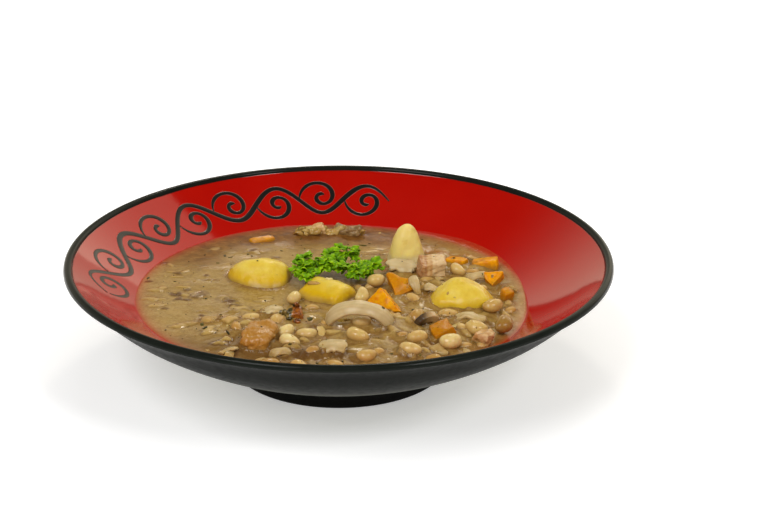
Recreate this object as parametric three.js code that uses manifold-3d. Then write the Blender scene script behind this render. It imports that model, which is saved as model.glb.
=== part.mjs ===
// A wide, shallow glazed bowl on a foot ring, filled with bean stew: a thick broth with potato,
// carrot, ham, mushroom, onion and white beans standing in it, and a sprig of curly parsley on top.
// Millimetres, +Z up. The origin is the middle of the foot ring's flat underside.
import * as THREE from "three";
import { mergeVertices } from "three/addons/utils/BufferGeometryUtils.js";
import Module from "manifold-3d";

// ---- driving dimensions ----
const RIM_RADIUS = 135;
const BOWL_HEIGHT = 60;
const LIP_THICKNESS = 4.4;
const FOOT_RADIUS = 54;
const FOOT_WIDTH = 6;
const FOOT_HEIGHT = 7.5;
const FLOOR_TOP = 12.5; // inside of the bowl, at its middle
const STEW_RADIUS = 98.5; // where the broth meets the inner wall
const STEW_LEVEL = 37;
const STEW_SHIFT = 4.2; // how far the thick stew has settled towards -X
const STEW_TILT = 0.018; // and how much higher that leaves it there
const CLEARANCE = 0.5; // between the broth and what stands in it, or the wall that holds it

const BOWL_SEGMENTS = 48;
const STEW_SEGMENTS = 36;
const SURFACE_RINGS = 8;
const HEAP_RISE = 2.2; // how far the beans lift the surface where they lie thickest
const HEAP_LUMP = 0.7; // the unevenness there

const COLOURS = {
  blackGlaze: { color: 0x2b2c29, roughness: 0.25, metalness: 0 },
  broth: { color: 0xa8895a, roughness: 0.35, metalness: 0 },
  potato: { color: 0xe0c35a, roughness: 0.5, metalness: 0 },
  carrot: { color: 0xe08c10, roughness: 0.4, metalness: 0 },
  ham: { color: 0xc49a72, roughness: 0.5, metalness: 0 },
  mushroom: { color: 0x8a6a48, roughness: 0.5, metalness: 0 },
  tomato: { color: 0x9a4416, roughness: 0.3, metalness: 0 },
  onion: { color: 0xc8b485, roughness: 0.3, metalness: 0 },
  bean: { color: 0xd0ab72, roughness: 0.35, metalness: 0 },
  parsley: { color: 0x5f9a1a, roughness: 0.6, metalness: 0 },
};

const wasm = await Module();
wasm.setup();

// ---- from three.js geometry to a solid and back ----

// The same surface with one vertex at each point, and without its empty triangles.
function welded(geometry) {
  const bare = new THREE.BufferGeometry();
  bare.setAttribute("position", geometry.getAttribute("position").clone());
  bare.setIndex(geometry.index);
  const merged = mergeVertices(bare, 1e-3);
  const corners = merged.index.array;
  const kept = [];
  for (let i = 0; i < corners.length; i += 3) {
    const [a, b, c] = corners.slice(i, i + 3);
    if (a !== b && b !== c && c !== a) {
      kept.push(a, b, c);
    }
  }
  merged.setIndex(kept);
  return merged;
}

function toSolid(geometry) {
  const { attributes, index } = welded(geometry);
  return new wasm.Manifold(
    new wasm.Mesh({
      numProp: 3,
      vertProperties: attributes.position.array,
      triVerts: new Uint32Array(index.array),
    }),
  );
}

function toGeometry(solid) {
  const mesh = solid.getMesh();
  const geometry = new THREE.BufferGeometry();
  geometry.setAttribute("position", new THREE.BufferAttribute(mesh.vertProperties, 3));
  geometry.setIndex(new THREE.BufferAttribute(mesh.triVerts, 1));
  geometry.computeVertexNormals();
  return geometry;
}

// The same surface with every face moved out by the distance. Each vertex is pushed along the
// normals of the faces round it until it is far enough outside them all.
function grown(geometry, distance) {
  const passes = 30;
  const surface = welded(geometry);
  const { position } = surface.attributes;
  const corners = surface.index.array;
  const normalsAt = Array.from({ length: position.count }, () => []);
  const triangle = new THREE.Triangle();
  for (let i = 0; i < corners.length; i += 3) {
    triangle.setFromAttributeAndIndices(position, corners[i], corners[i + 1], corners[i + 2]);
    const normal = triangle.getNormal(new THREE.Vector3());
    corners.slice(i, i + 3).forEach((corner) => normalsAt[corner].push(normal));
  }
  normalsAt.forEach((normals, corner) => {
    const move = new THREE.Vector3();
    for (let pass = 0; pass < passes; pass++) {
      for (const normal of normals) {
        move.addScaledVector(normal, Math.max(0, distance - move.dot(normal)));
      }
    }
    move.add(new THREE.Vector3().fromBufferAttribute(position, corner));
    position.setXYZ(corner, move.x, move.y, move.z);
  });
  return surface;
}

// Calls change(point) on every vertex, and keeps what it does to the point.
function reshape(geometry, change) {
  const { position } = geometry.attributes;
  const point = new THREE.Vector3();
  for (let i = 0; i < position.count; i++) {
    point.fromBufferAttribute(position, i);
    change(point);
    position.setXYZ(i, point.x, point.y, point.z);
  }
  return geometry;
}

// A profile of [radius, height] pairs turned about +Z.
function turned(profile, segments) {
  const points = profile.map(([radius, height]) => new THREE.Vector2(radius, height));
  return new THREE.LatheGeometry(points, segments).rotateX(Math.PI / 2);
}

// ---- the bowl ----
function curveThrough(pairs, steps) {
  const curve = new THREE.SplineCurve(pairs.map(([radius, height]) => new THREE.Vector2(radius, height)));
  return curve.getPoints(steps).map((point) => [point.x, point.y]);
}

const OUTER_WALL = [
  [FOOT_RADIUS + 2, FOOT_HEIGHT],
  [75, 16.8],
  [96, 27.4],
  [115, 39.8],
  [129, 52.6],
  [RIM_RADIUS, BOWL_HEIGHT - 2.6],
];
const INNER_WALL = [
  [0, FLOOR_TOP],
  [42, 13.6],
  [68, 20.4],
  [STEW_RADIUS, STEW_LEVEL],
  [117, 48],
  [RIM_RADIUS - LIP_THICKNESS, BOWL_HEIGHT - 2.2],
];

function bowlGeometry() {
  const footInner = FOOT_RADIUS - FOOT_WIDTH;
  const underside = [
    [0, 5],
    [footInner - 3, 4.6],
    [footInner, 0],
    [FOOT_RADIUS, 0],
    [FOOT_RADIUS + 0.8, 1.2],
  ];
  const lip = [
    [RIM_RADIUS - 0.6, BOWL_HEIGHT - 0.8],
    [RIM_RADIUS - LIP_THICKNESS / 2, BOWL_HEIGHT],
    [RIM_RADIUS - LIP_THICKNESS + 0.6, BOWL_HEIGHT - 0.7],
  ];
  const inside = curveThrough(INNER_WALL, 8).reverse();
  return turned([...underside, ...curveThrough(OUTER_WALL, 7), ...lip, ...inside], BOWL_SEGMENTS);
}

// ---- shapes of the food ----

// A boiled chunk: an ellipsoid of the given half sizes, flattened by the given cuts, each a
// direction and its distance from the middle. Sharpness says how tight its edges are.
function chunk(halfSizes, cuts, { detail = 2, sharpness = 9 } = {}) {
  const [a, b, c] = halfSizes;
  const planes = cuts.map(([x, y, z, distance]) => {
    return { normal: new THREE.Vector3(x, y, z).normalize(), distance };
  });
  return reshape(new THREE.IcosahedronGeometry(1, detail), (point) => {
    point.normalize();
    let sum = Math.hypot(point.x / a, point.y / b, point.z / c) ** sharpness;
    for (const { normal, distance } of planes) {
      sum += (Math.max(0, normal.dot(point)) / distance) ** sharpness;
    }
    point.multiplyScalar(sum ** (-1 / sharpness));
  });
}

// A cut block, its edges and corners a little worn and its faces a little out of square.
function block([length, width, height], skew) {
  const wear = 0.07;
  return reshape(new THREE.BoxGeometry(length, width, height, 2, 2, 2), (point) => {
    const shares = [point.x / length, point.y / width, point.z / height];
    const outermost = shares.filter((share) => Math.abs(share) > 0.49).length;
    point.multiplyScalar(1 - wear * (outermost - 1));
    const { x, y, z } = point;
    point.set(x + skew * y, y + skew * z * (1 + x / length), z + 0.6 * skew * x * (1 - y / width));
  });
}

// A white bean lying along X: an egg with a flatter, slightly hollow side at +Y.
function bean(length) {
  const halfLength = length / 2;
  const halfWidth = length * 0.34;
  const halfHeight = length * 0.31;
  return reshape(new THREE.SphereGeometry(1, 8, 5).rotateZ(Math.PI / 2), (point) => {
    const along = point.x;
    const bend = 0.16 * halfLength * (1 - along * along);
    point.set(
      along * halfLength,
      point.y * halfWidth * (1 - 0.12 * along) - bend + 0.1 * halfLength,
      point.z * halfHeight,
    );
  });
}

// A cut slice of carrot lying flat: an outline of a few corners, given the slice's thickness.
function plate(corners, thickness) {
  const shape = new THREE.Shape(corners.map(([x, y]) => new THREE.Vector2(x, y)));
  return new THREE.ExtrudeGeometry(shape, { depth: thickness, bevelEnabled: false }).center();
}

// A piece of a round slice of carrot: a sector with its middle at the origin.
function carrotSector(radius, degrees, thickness) {
  const arcSteps = 4;
  const corners = [[0, 0]];
  for (let step = 0; step <= arcSteps; step++) {
    const angle = THREE.MathUtils.degToRad((degrees * step) / arcSteps);
    corners.push([radius * Math.cos(angle), radius * Math.sin(angle)]);
  }
  return plate(corners, thickness);
}

// A strip cut from a layer of onion: part of a hoop, standing up, with its ends down.
function onionArch(radius, thickness, width, degrees) {
  const half = THREE.MathUtils.degToRad(degrees / 2);
  const up = Math.PI / 2;
  const crown = 0.18 * width;
  const shape = new THREE.Shape();
  shape.absarc(0, 0, radius, up - half, up + half, false);
  shape.absarc(0, 0, radius - thickness, up + half, up - half, true);
  const cut = { depth: width, steps: 2, bevelEnabled: false, curveSegments: 4 };
  const strip = new THREE.ExtrudeGeometry(shape, cut);
  strip.translate(0, 0, -width / 2).rotateX(Math.PI / 2);
  // The layer curves both ways, so its middle stands higher than its two edges.
  return reshape(strip, (point) => {
    const across = (2 * point.y) / width;
    const share = 1 + (crown * (1 - across * across)) / radius;
    point.x *= share;
    point.z *= share;
  });
}

// A piece of onion that lies in the broth, curled along X.
function onionPiece(length, width, thickness) {
  const curl = 0.05;
  return reshape(new THREE.IcosahedronGeometry(1, 1), (point) => {
    const x = (point.x * length) / 2;
    const y = (point.y * width) / 2;
    point.set(x, y, (point.z * thickness) / 2 - curl * y * y - (curl / 3) * x * x);
  });
}

// A slice through a mushroom's cap: a thick crescent, standing on its cut edge.
function mushroomSlice(length, height, thickness) {
  const half = length / 2;
  const shape = new THREE.Shape();
  shape.moveTo(-half, 0);
  shape.quadraticCurveTo(-half * 0.75, height, 0, height);
  shape.quadraticCurveTo(half * 0.75, height, half, 0);
  shape.lineTo(half * 0.7, 0);
  shape.quadraticCurveTo(half * 0.4, height * 0.45, 0, height * 0.45);
  shape.quadraticCurveTo(-half * 0.4, height * 0.45, -half * 0.7, 0);
  const cut = { depth: thickness, bevelEnabled: false, curveSegments: 4 };
  const slice = new THREE.ExtrudeGeometry(shape, cut);
  return slice.translate(0, 0, -thickness / 2).rotateX(Math.PI / 2);
}

// One leaf of curly parsley as a solid: a thick disc with a lobed, waved edge.
function parsleyLeaf(radius, lobes, turn) {
  const sides = 3 * lobes;
  const thickness = 4;
  const disc = new THREE.CylinderGeometry(radius, radius * 0.85, thickness, sides, 1).rotateX(Math.PI / 2);
  return reshape(disc, (point) => {
    const angle = Math.atan2(point.y, point.x);
    const reach = Math.hypot(point.x, point.y) / radius;
    const lobe = 1 + 0.18 * Math.cos(lobes * angle + turn);
    point.x *= lobe;
    point.y *= lobe;
    point.z += reach * 1.6 * Math.sin(2 * angle + turn);
  });
}

function parsleySprig() {
  // Each leaf: where its middle lies, its radius and its lobes.
  const leaves = [
    [-18, 14.6, 46.6, 7.6, 4],
    [-11, 25, 46.8, 7.2, 4],
    [0, 34, 46.4, 7.6, 4],
    [2, 22, 47, 7.4, 4],
    [14, 14.4, 48, 8, 4],
    [-6, 13, 47.4, 6.4, 4],
  ];
  let sprig = null;
  leaves.forEach(([x, y, z, radius, lobes], index) => {
    const leaf = parsleyLeaf(radius, lobes, index * 1.3);
    leaf.rotateX(0.12 * Math.sin(index * 2.1)).rotateY(0.14 * Math.cos(index * 1.7));
    leaf.translate(x, y, z);
    sprig = sprig ? sprig.add(toSolid(leaf)) : toSolid(leaf);
  });
  return toGeometry(sprig);
}

// ---- what stands in the broth: name, material, geometry, place of its middle, and turn in degrees ----
const pieces = [];

function put(name, material, geometry, place, turn = [0, 0, 0]) {
  const mesh = new THREE.Mesh(geometry, new THREE.MeshStandardMaterial(COLOURS[material]));
  mesh.name = name;
  mesh.position.set(...place);
  mesh.rotation.set(...turn.map(THREE.MathUtils.degToRad));
  pieces.push(mesh);
}

function putPotatoes() {
  const left = chunk(
    [18.5, 14.5, 12.5],
    [[0.25, -0.62, 0.74, 11.2], [0, 0.4, 0.9, 11.4], [1, 0.1, 0.1, 16.5]],
  );
  put("potato_left", "potato", left, [-39.5, 18.6, 37.4], [0, 0, -22]);

  const middle = chunk(
    [21, 17, 15],
    [
      [-0.56, -0.83, 0.12, 10.3],
      [0.82, -0.57, 0.2, 13],
      [0.56, 0.83, 0.12, 10],
      [-0.82, 0.57, 0.12, 13],
      [-0.32, -0.25, 0.92, 7.8],
      [0.3, 0.3, 0.9, 10],
    ],
    { sharpness: 14 },
  );
  put("potato_middle", "potato", middle, [-6.8, -3.6, 36.2]);

  const back = chunk([9.6, 9.8, 24], [[0.1, -1, 0.18, 9], [0, 0, -1, 16]], { sharpness: 7 });
  put("potato_back", "potato", back, [34.3, 37.5, 35.4], [0, 2, 0]);

  const right = chunk(
    [18.5, 12, 15],
    [[-0.1, -0.55, 0.85, 10.2], [0.62, 0.1, 0.78, 11.5], [-0.72, 0, 0.7, 11.4], [0, 1, 0.3, 9.5]],
    { sharpness: 14 },
  );
  put("potato_right", "potato", right, [59.4, -13.4, 38.6], [0, 0, -6]);
}

function putCarrots() {
  const leaning = plate([[0, 0], [-9.2, -7.9], [0, -13], [11.2, -14.8]], 6);
  put("carrot_wedge", "carrot", leaning, [22, -21.4, 41.4], [49, -30, 0]);
  put("carrot_middle", "carrot", carrotSector(16, 66, 8), [32.6, 0.8, 39.2], [22, 4, -78]);
  put("carrot_right", "carrot", carrotSector(10.5, 56, 6), [78.2, 8.4, 39.4], [30, -12, 176]);
  put("carrot_front", "carrot", block([12, 11, 10], 0.12), [48.4, -53.4, 38.6], [12, -8, 24]);
  put("carrot_edge", "carrot", block([6.6, 6, 6], 0.15), [82.8, -9.4, 39.8], [10, 14, 30]);
  put("carrot_back_left", "carrot", block([15, 6.6, 5], 0.1), [-41.8, 73.2, 36.6], [0, 4, 32]);
  put("carrot_back_right", "carrot", block([12, 7, 7], 0.1), [60.6, 37.4, 37.6], [0, 0, -26]);
  put("carrot_far_right", "carrot", block([14.5, 8, 7], 0.1), [75.6, 34.6, 38], [0, -6, -4]);
}

function putMeatAndVegetables() {
  put("ham_cube", "ham", block([15, 12, 12], 0.12), [46.6, 20.6, 41.6], [6, 8, 16]);
  put("ham_front", "ham", block([13, 15, 11.4], 0.14), [-38.2, -60.6, 39.6], [16, 4, -10]);
  put("ham_back_left", "ham", block([11, 7.4, 6.4], 0.26), [-13, 82, 38.8], [6, -10, 16]);
  put("ham_edge", "ham", block([9, 7, 6], 0.16), [67.2, -59.6, 39.6], [8, 6, -34]);
  put("mushroom_back", "mushroom", block([16, 8, 7.4], 0.28), [3.6, 80.6, 39], [10, 8, -8]);
  put("mushroom_slice", "mushroom", mushroomSlice(15, 8.5, 3.4), [41.6, -37.6, 36.2], [30, 0, 24]);
  put("tomato_piece", "tomato", block([8.6, 5.6, 5.4], 0.2), [-22.6, -35, 39.6], [14, -10, 12]);
  put("onion_petal", "onion", onionArch(15.8, 2.6, 8.4, 168), [9.4, -40.5, 35.4], [32, 0, -6]);
  put("onion_front", "onion", onionPiece(13, 8.6, 4.6), [-3, -71.6, 40.4], [0, 0, -14]);
  put("onion_left", "onion", onionPiece(11.6, 8.4, 5.6), [-32.6, -32, 39.4], [0, 0, 10]);
  put("onion_right", "onion", onionPiece(16, 7, 4.4), [62.6, -39.4, 39.2], [0, 0, -8]);
  put("onion_back", "onion", onionPiece(14.6, 6.4, 6.6), [31, 24.4, 41.6], [8, 6, 4]);
  put("parsley", "parsley", parsleySprig(), [0, 0, 0]);
}

function putBeans() {
  // Each bean: where its middle lies, its length, its turn about Z and its tilt, in degrees.
  const beans = [
    [-22.4, -12.8, 40.4, 9, 66, 10],
    [10.6, -17.4, 43.8, 9.6, 78, 24],
    [18.4, 6.4, 41.6, 9.6, 14, -8],
    [60.6, 21.8, 41, 9.6, -52, 14],
    [8.2, -60.6, 41.4, 11.6, -32, 10],
    [-15.6, -55.6, 39.8, 10.4, 12, 0],
    [-25.2, -54.2, 41, 9.6, 48, 12],
    [-23.4, -66.2, 40.8, 10.8, -34, 8],
    [12.2, -80.4, 40.2, 9.8, 18, 10],
    [32.2, -73, 39.8, 10.8, -20, 6],
    [36.2, -61.4, 40.6, 10.4, 18, -10],
    [51.6, -65.4, 40.2, 11, 16, 4],
    [64.6, -49.8, 40, 11.4, -24, 10],
    [77.4, -46.6, 40.8, 11.8, 74, 10],
    [74.6, -25.4, 41, 11.2, 30, 0],
    [-42.2, -37.6, 39.8, 9.8, 14, 6],
    [-61.8, -37.6, 37.4, 11.2, -8, 4],
  ];
  beans.forEach(([x, y, z, length, turn, tilt], index) => {
    const name = `bean_${String(index + 1).padStart(2, "0")}`;
    put(name, "bean", bean(length), [x, y, z], [tilt, tilt / 2, turn]);
  });
}

// ---- the broth and the small things heaped in it ----

// How thickly the beans lie at a place: 0 on the open broth at the left, 1 at the front and right.
function heapShare(x, y) {
  const right = THREE.MathUtils.smoothstep(x + 0.35 * (-y - 30), -25, 35);
  const front = THREE.MathUtils.smoothstep(-y - 0.25 * x, 15, 60) * THREE.MathUtils.smoothstep(x, -75, -45);
  const open = THREE.MathUtils.smoothstep(y, 30, 70);
  return Math.max(right * (1 - 0.75 * open), front);
}

function surfaceLevel(x, y) {
  const reach = Math.hypot(x + STEW_SHIFT, y);
  const edge = 1 - THREE.MathUtils.smoothstep(reach, STEW_RADIUS - 22, STEW_RADIUS - 4);
  const lumps = Math.sin(0.29 * x + 0.1 * y) * Math.sin(0.31 * y - 0.06 * x);
  return STEW_LEVEL - STEW_TILT * x + edge * heapShare(x, y) * (HEAP_RISE + HEAP_LUMP * lumps);
}

// How high the inner wall is under a point.
function wallHeight({ x, y }) {
  const radius = Math.hypot(x, y);
  const wall = curveThrough(INNER_WALL, 200);
  const after = wall.findIndex(([reach]) => reach >= radius);
  const [[r0, z0], [r1, z1]] = [wall[after - 1], wall[after]];
  return z0 + ((z1 - z0) * (radius - r0)) / (r1 - r0);
}

function stewSolid() {
  const wall = curveThrough(INNER_WALL, 40).filter(([radius]) => radius > 1 && radius < STEW_RADIUS - 11);
  const bottom = wall.filter((_, index) => index % 7 === 0);
  const lift = 2 * CLEARANCE;
  const surface = [];
  for (let ring = 1; ring < SURFACE_RINGS; ring++) {
    surface.push([(STEW_RADIUS - 1) * (1 - ring / SURFACE_RINGS), STEW_LEVEL]);
  }
  const profile = [
    [0, FLOOR_TOP + lift],
    ...bottom.map(([radius, height]) => [radius, height + lift]),
    [STEW_RADIUS - 1, STEW_LEVEL],
    ...surface,
    [0, STEW_LEVEL],
  ];
  const body = reshape(turned(profile, STEW_SEGMENTS), (point) => {
    if (point.z > STEW_LEVEL - 1e-3) {
      const onEdge = Math.hypot(point.x, point.y) > STEW_RADIUS - 1.5;
      point.x -= STEW_SHIFT;
      point.z = onEdge ? wallHeight(point) + 1.1 * CLEARANCE : surfaceLevel(point.x, point.y);
    }
  });
  let solid = toSolid(body);
  for (const mesh of pieces) {
    mesh.updateMatrixWorld(true);
    const room = grown(mesh.geometry, CLEARANCE).applyMatrix4(mesh.matrixWorld);
    solid = solid.subtract(toSolid(room));
  }
  // Slivers that the cuts leave between two pieces are dropped, and the one body of broth stays.
  return solid.decompose().sort((a, b) => b.volume() - a.volume())[0];
}

// ---- the whole ----
putPotatoes();
putCarrots();
putMeatAndVegetables();
putBeans();

const bowl = new THREE.Mesh(bowlGeometry(), new THREE.MeshStandardMaterial(COLOURS.blackGlaze));
bowl.name = "bowl";
const stew = new THREE.Mesh(toGeometry(stewSolid()), new THREE.MeshStandardMaterial(COLOURS.broth));
stew.name = "stew";

const contents = new THREE.Group();
contents.add(stew, ...pieces);
const bowlOfStew = new THREE.Group();
bowlOfStew.add(bowl, contents);

export default bowlOfStew;
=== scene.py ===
import itertools
import math
import random

import bpy
import numpy as np
from mathutils import Euler, Matrix, Vector
from mathutils.bvhtree import BVHTree


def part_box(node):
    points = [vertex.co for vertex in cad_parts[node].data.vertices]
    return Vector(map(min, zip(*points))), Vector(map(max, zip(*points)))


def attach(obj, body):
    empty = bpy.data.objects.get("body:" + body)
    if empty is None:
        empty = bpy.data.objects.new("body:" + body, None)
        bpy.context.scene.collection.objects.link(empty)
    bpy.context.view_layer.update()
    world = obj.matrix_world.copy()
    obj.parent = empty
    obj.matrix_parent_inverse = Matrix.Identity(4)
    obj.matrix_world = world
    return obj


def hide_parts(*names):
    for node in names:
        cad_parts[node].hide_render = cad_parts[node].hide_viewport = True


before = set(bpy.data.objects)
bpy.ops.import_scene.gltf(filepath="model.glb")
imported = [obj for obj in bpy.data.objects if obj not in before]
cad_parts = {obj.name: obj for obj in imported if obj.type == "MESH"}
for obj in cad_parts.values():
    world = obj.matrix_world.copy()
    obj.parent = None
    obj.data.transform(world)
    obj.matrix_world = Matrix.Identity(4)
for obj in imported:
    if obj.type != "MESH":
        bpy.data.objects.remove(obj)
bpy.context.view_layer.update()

MM = 0.001

# ---- driving dimensions, as in the CAD ----
RIM_RADIUS = 135.0
BOWL_HEIGHT = 60.0
LIP_THICKNESS = 4.4
FOOT_RADIUS = 54.0
FOOT_WIDTH = 6.0
FOOT_HEIGHT = 7.5
FLOOR_TOP = 12.5
STEW_RADIUS = 98.5
STEW_LEVEL = 37.0
STEW_SHIFT = 4.2
STEW_TILT = 0.018  # how much it falls per millimetre towards +X
HEAP_RISE = 2.2
HEAP_LUMP = 0.7
FARTHEST = 5.0  # how far away the nearest surface is looked for

# ---- the camera: where it stands, which way it looks, its lens ----
CAMERA_PLACE = (0.0, -787.4, 367.7)
CAMERA_YAW = 1.6
CAMERA_PITCH = 21.52
CAMERA_ROLL = 0.376
CAMERA_LENS = 80.0


# ================================================================ arithmetic
def smoothstep(values, low, high):
    share = np.clip((np.asarray(values, float) - low) / (high - low), 0.0, 1.0)
    return share * share * (3.0 - 2.0 * share)


def lattice(cells, seed):
    """A repeatable number from -1 to 1 for each whole-numbered place."""
    mixed = cells[:, 0] * 374761393 + cells[:, 1] * 668265263 + cells[:, 2] * 1442695041 + seed * 974711
    mixed = (mixed ^ (mixed >> 13)) & 0xFFFFFFFF
    mixed = (mixed * 1274126177) & 0xFFFFFFFF
    mixed = (mixed ^ (mixed >> 16)) & 0xFFFF
    return mixed / 32767.5 - 1.0


def noise(points, size, seed=0, octaves=1):
    """Smooth noise from about -1 to 1 at each point, its lumps about size across."""
    points = np.asarray(points, float)
    total = np.zeros(len(points))
    for octave in range(octaves):
        scaled = points * (2.0**octave / size) + 11.7 * octave + 0.37 * seed
        cells = np.floor(scaled).astype(np.int64)
        part = scaled - cells
        part = part * part * (3.0 - 2.0 * part)
        for corner in itertools.product((0, 1), repeat=3):
            weight = np.prod(np.where(corner, part, 1.0 - part), axis=1)
            total += weight * lattice(cells + corner, seed + octave) / 2.0**octave
    return total


def catmull_rom(points, steps):
    """Points along the uniform spline through the given ones, steps + 1 of them."""
    points = np.asarray(points, float)
    last = len(points) - 1
    result = []
    for step in range(steps + 1):
        place = last * step / steps
        index = min(int(place), last - 1)
        t = place - index
        a, b = points[max(index - 1, 0)], points[index]
        c, d = points[index + 1], points[min(index + 2, last)]
        m0, m1 = (c - a) / 2.0, (d - b) / 2.0
        result.append(
            (2 * t**3 - 3 * t**2 + 1) * b + (t**3 - 2 * t**2 + t) * m0
            + (3 * t**2 - 2 * t**3) * c + (t**3 - t**2) * m1
        )
    return np.array(result)


# ================================================================ meshes
def add_values(mesh, key, numbers):
    """Gives the points of a mesh numbers under a name: one each, or the same for all."""
    numbers = np.array(np.broadcast_to(numbers, len(mesh.vertices)), np.float32)
    mesh.attributes.new(key, "FLOAT", "POINT").data.foreach_set("value", numbers)


def new_piece(name, vertices, faces, material, values):
    """An object from millimetre points; values holds their numbers under each name."""
    mesh = bpy.data.meshes.new(name)
    mesh.from_pydata((np.asarray(vertices) * MM).tolist(), [], [list(face) for face in faces])
    mesh.validate()
    mesh.shade_smooth()
    for key, numbers in values.items():
        add_values(mesh, key, numbers)
    return dressed(bpy.data.objects.new(name, mesh), material)


def new_solids(name, parts, material):
    """One object of closed parts, each its points, faces and values, with all faces turned outward."""
    points, faces, values, count = [], [], {}, 0
    for part_points, part_faces, part_values in parts:
        points.append(part_points)
        faces.extend((np.asarray(face) + count).tolist() for face in outward(part_points, part_faces))
        for key, numbers in part_values.items():
            values.setdefault(key, []).append(np.broadcast_to(numbers, len(part_points)))
        count += len(part_points)
    values = {key: np.concatenate(numbers) for key, numbers in values.items()}
    return new_piece(name, np.concatenate(points), faces, material, values)


def outward(points, faces):
    """The faces, all turned over if the solid they close would be inside out."""
    volume = 0.0
    for face in faces:
        a = points[face[0]]
        for k in range(1, len(face) - 1):
            volume += np.dot(a, np.cross(points[face[k]], points[face[k + 1]]))
    return faces if volume > 0 else [list(face)[::-1] for face in faces]


def dressed(piece, material):
    """Links an object, gives it its material, and makes it ride on the bowl's body."""
    if piece.name not in bpy.context.scene.collection.objects:
        bpy.context.scene.collection.objects.link(piece)
    piece.data.materials.clear()
    piece.data.materials.append(material)
    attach(piece, "root")
    return piece


def grid_faces(rows, columns, closed=False):
    """Quads between the rows of a grid of points, round and round if closed."""
    spans = columns if closed else columns - 1
    row, column = np.meshgrid(np.arange(rows - 1), np.arange(spans), indexing="ij")
    after = (column + 1) % columns
    a, b = row * columns + column, row * columns + after
    c, d = (row + 1) * columns + after, (row + 1) * columns + column
    return np.stack([a, b, c, d], axis=-1).reshape(-1, 4)


def tube_faces(rows, columns):
    """The faces of a closed tube: quads round its rows, and one face over each end."""
    last = (rows - 1) * columns
    ends = [list(range(columns))[::-1], [last + column for column in range(columns)]]
    return grid_faces(rows, columns, closed=True).tolist() + ends


def border_loop(rows, columns):
    """The numbers of a grid's border points, once round."""
    last = columns - 1
    bottom = list(range(last))
    right = [row * columns + last for row in range(rows - 1)]
    top = [(rows - 1) * columns + column for column in range(last, 0, -1)]
    left = [row * columns for row in range(rows - 1, 0, -1)]
    return bottom + right + top + left


def place_matrix(place, turn=(0, 0, 0)):
    """A place and a turn in degrees about X, Y and Z, as the CAD's pieces have them."""
    matrix = Matrix.Translation(place)
    for angle, axis in zip(turn, "XYZ"):
        matrix = matrix @ Matrix.Rotation(math.radians(angle), 4, axis)
    return matrix


def moved(points, matrix):
    points = np.asarray(points, float)
    grid = np.array(matrix)
    return points @ grid[:3, :3].T + grid[:3, 3]


def read_points(mesh):
    flat = np.empty(3 * len(mesh.vertices), np.float32)
    mesh.vertices.foreach_get("co", flat)
    return flat.reshape(-1, 3).astype(float) / MM


def read_normals(mesh):
    flat = np.empty(3 * len(mesh.vertices), np.float32)
    mesh.vertex_normals.foreach_get("vector", flat)
    return flat.reshape(-1, 3).astype(float)


def write_points(mesh, points):
    mesh.vertices.foreach_set("co", (np.asarray(points, np.float32) * MM).ravel())
    mesh.update()


def remeshed(mesh, voxel, passes):
    """The closed mesh rebuilt in even faces of about voxel millimetres, its edges softened."""
    holder = bpy.data.objects.new("remesh_holder", mesh)
    bpy.context.scene.collection.objects.link(holder)
    remesh = holder.modifiers.new("Remesh", "REMESH")
    remesh.mode = "VOXEL"
    remesh.voxel_size = voxel * MM
    smooth = holder.modifiers.new("Smooth", "SMOOTH")
    smooth.factor = 0.5
    smooth.iterations = passes
    shape = holder.evaluated_get(bpy.context.evaluated_depsgraph_get())
    result = bpy.data.meshes.new_from_object(shape)
    bpy.data.objects.remove(holder)
    result.shade_smooth()
    return result


def push(mesh, amount):
    """Moves each point along its normal by amount(points, normals) millimetres."""
    points, normals = read_points(mesh), read_normals(mesh)
    write_points(mesh, points + normals * amount(points, normals)[:, None])


def tree_of(pieces):
    """All the faces of the pieces, to be searched."""
    vertices, faces, count = [], [], 0
    for piece in pieces:
        mesh = piece.data
        vertices.append(read_points(mesh))
        faces.extend([[count + corner for corner in face.vertices] for face in mesh.polygons])
        count += len(mesh.vertices)
    return BVHTree.FromPolygons(np.concatenate(vertices).tolist(), faces)


def nearest_distances(points, pieces):
    """The distance from each point to the nearest surface of the pieces, up to FARTHEST."""
    tree = tree_of(pieces)
    distances = (tree.find_nearest(Vector(point), FARTHEST)[3] for point in points)
    return np.array([FARTHEST if distance is None else distance for distance in distances])


# ================================================================ materials
def srgb(red, green, blue):
    """A colour as it is seen, in the linear numbers that a shader takes."""
    def linear(value):
        value /= 255.0
        return value / 12.92 if value <= 0.04045 else ((value + 0.055) / 1.055) ** 2.4
    return (linear(red), linear(green), linear(blue), 1.0)


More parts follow.
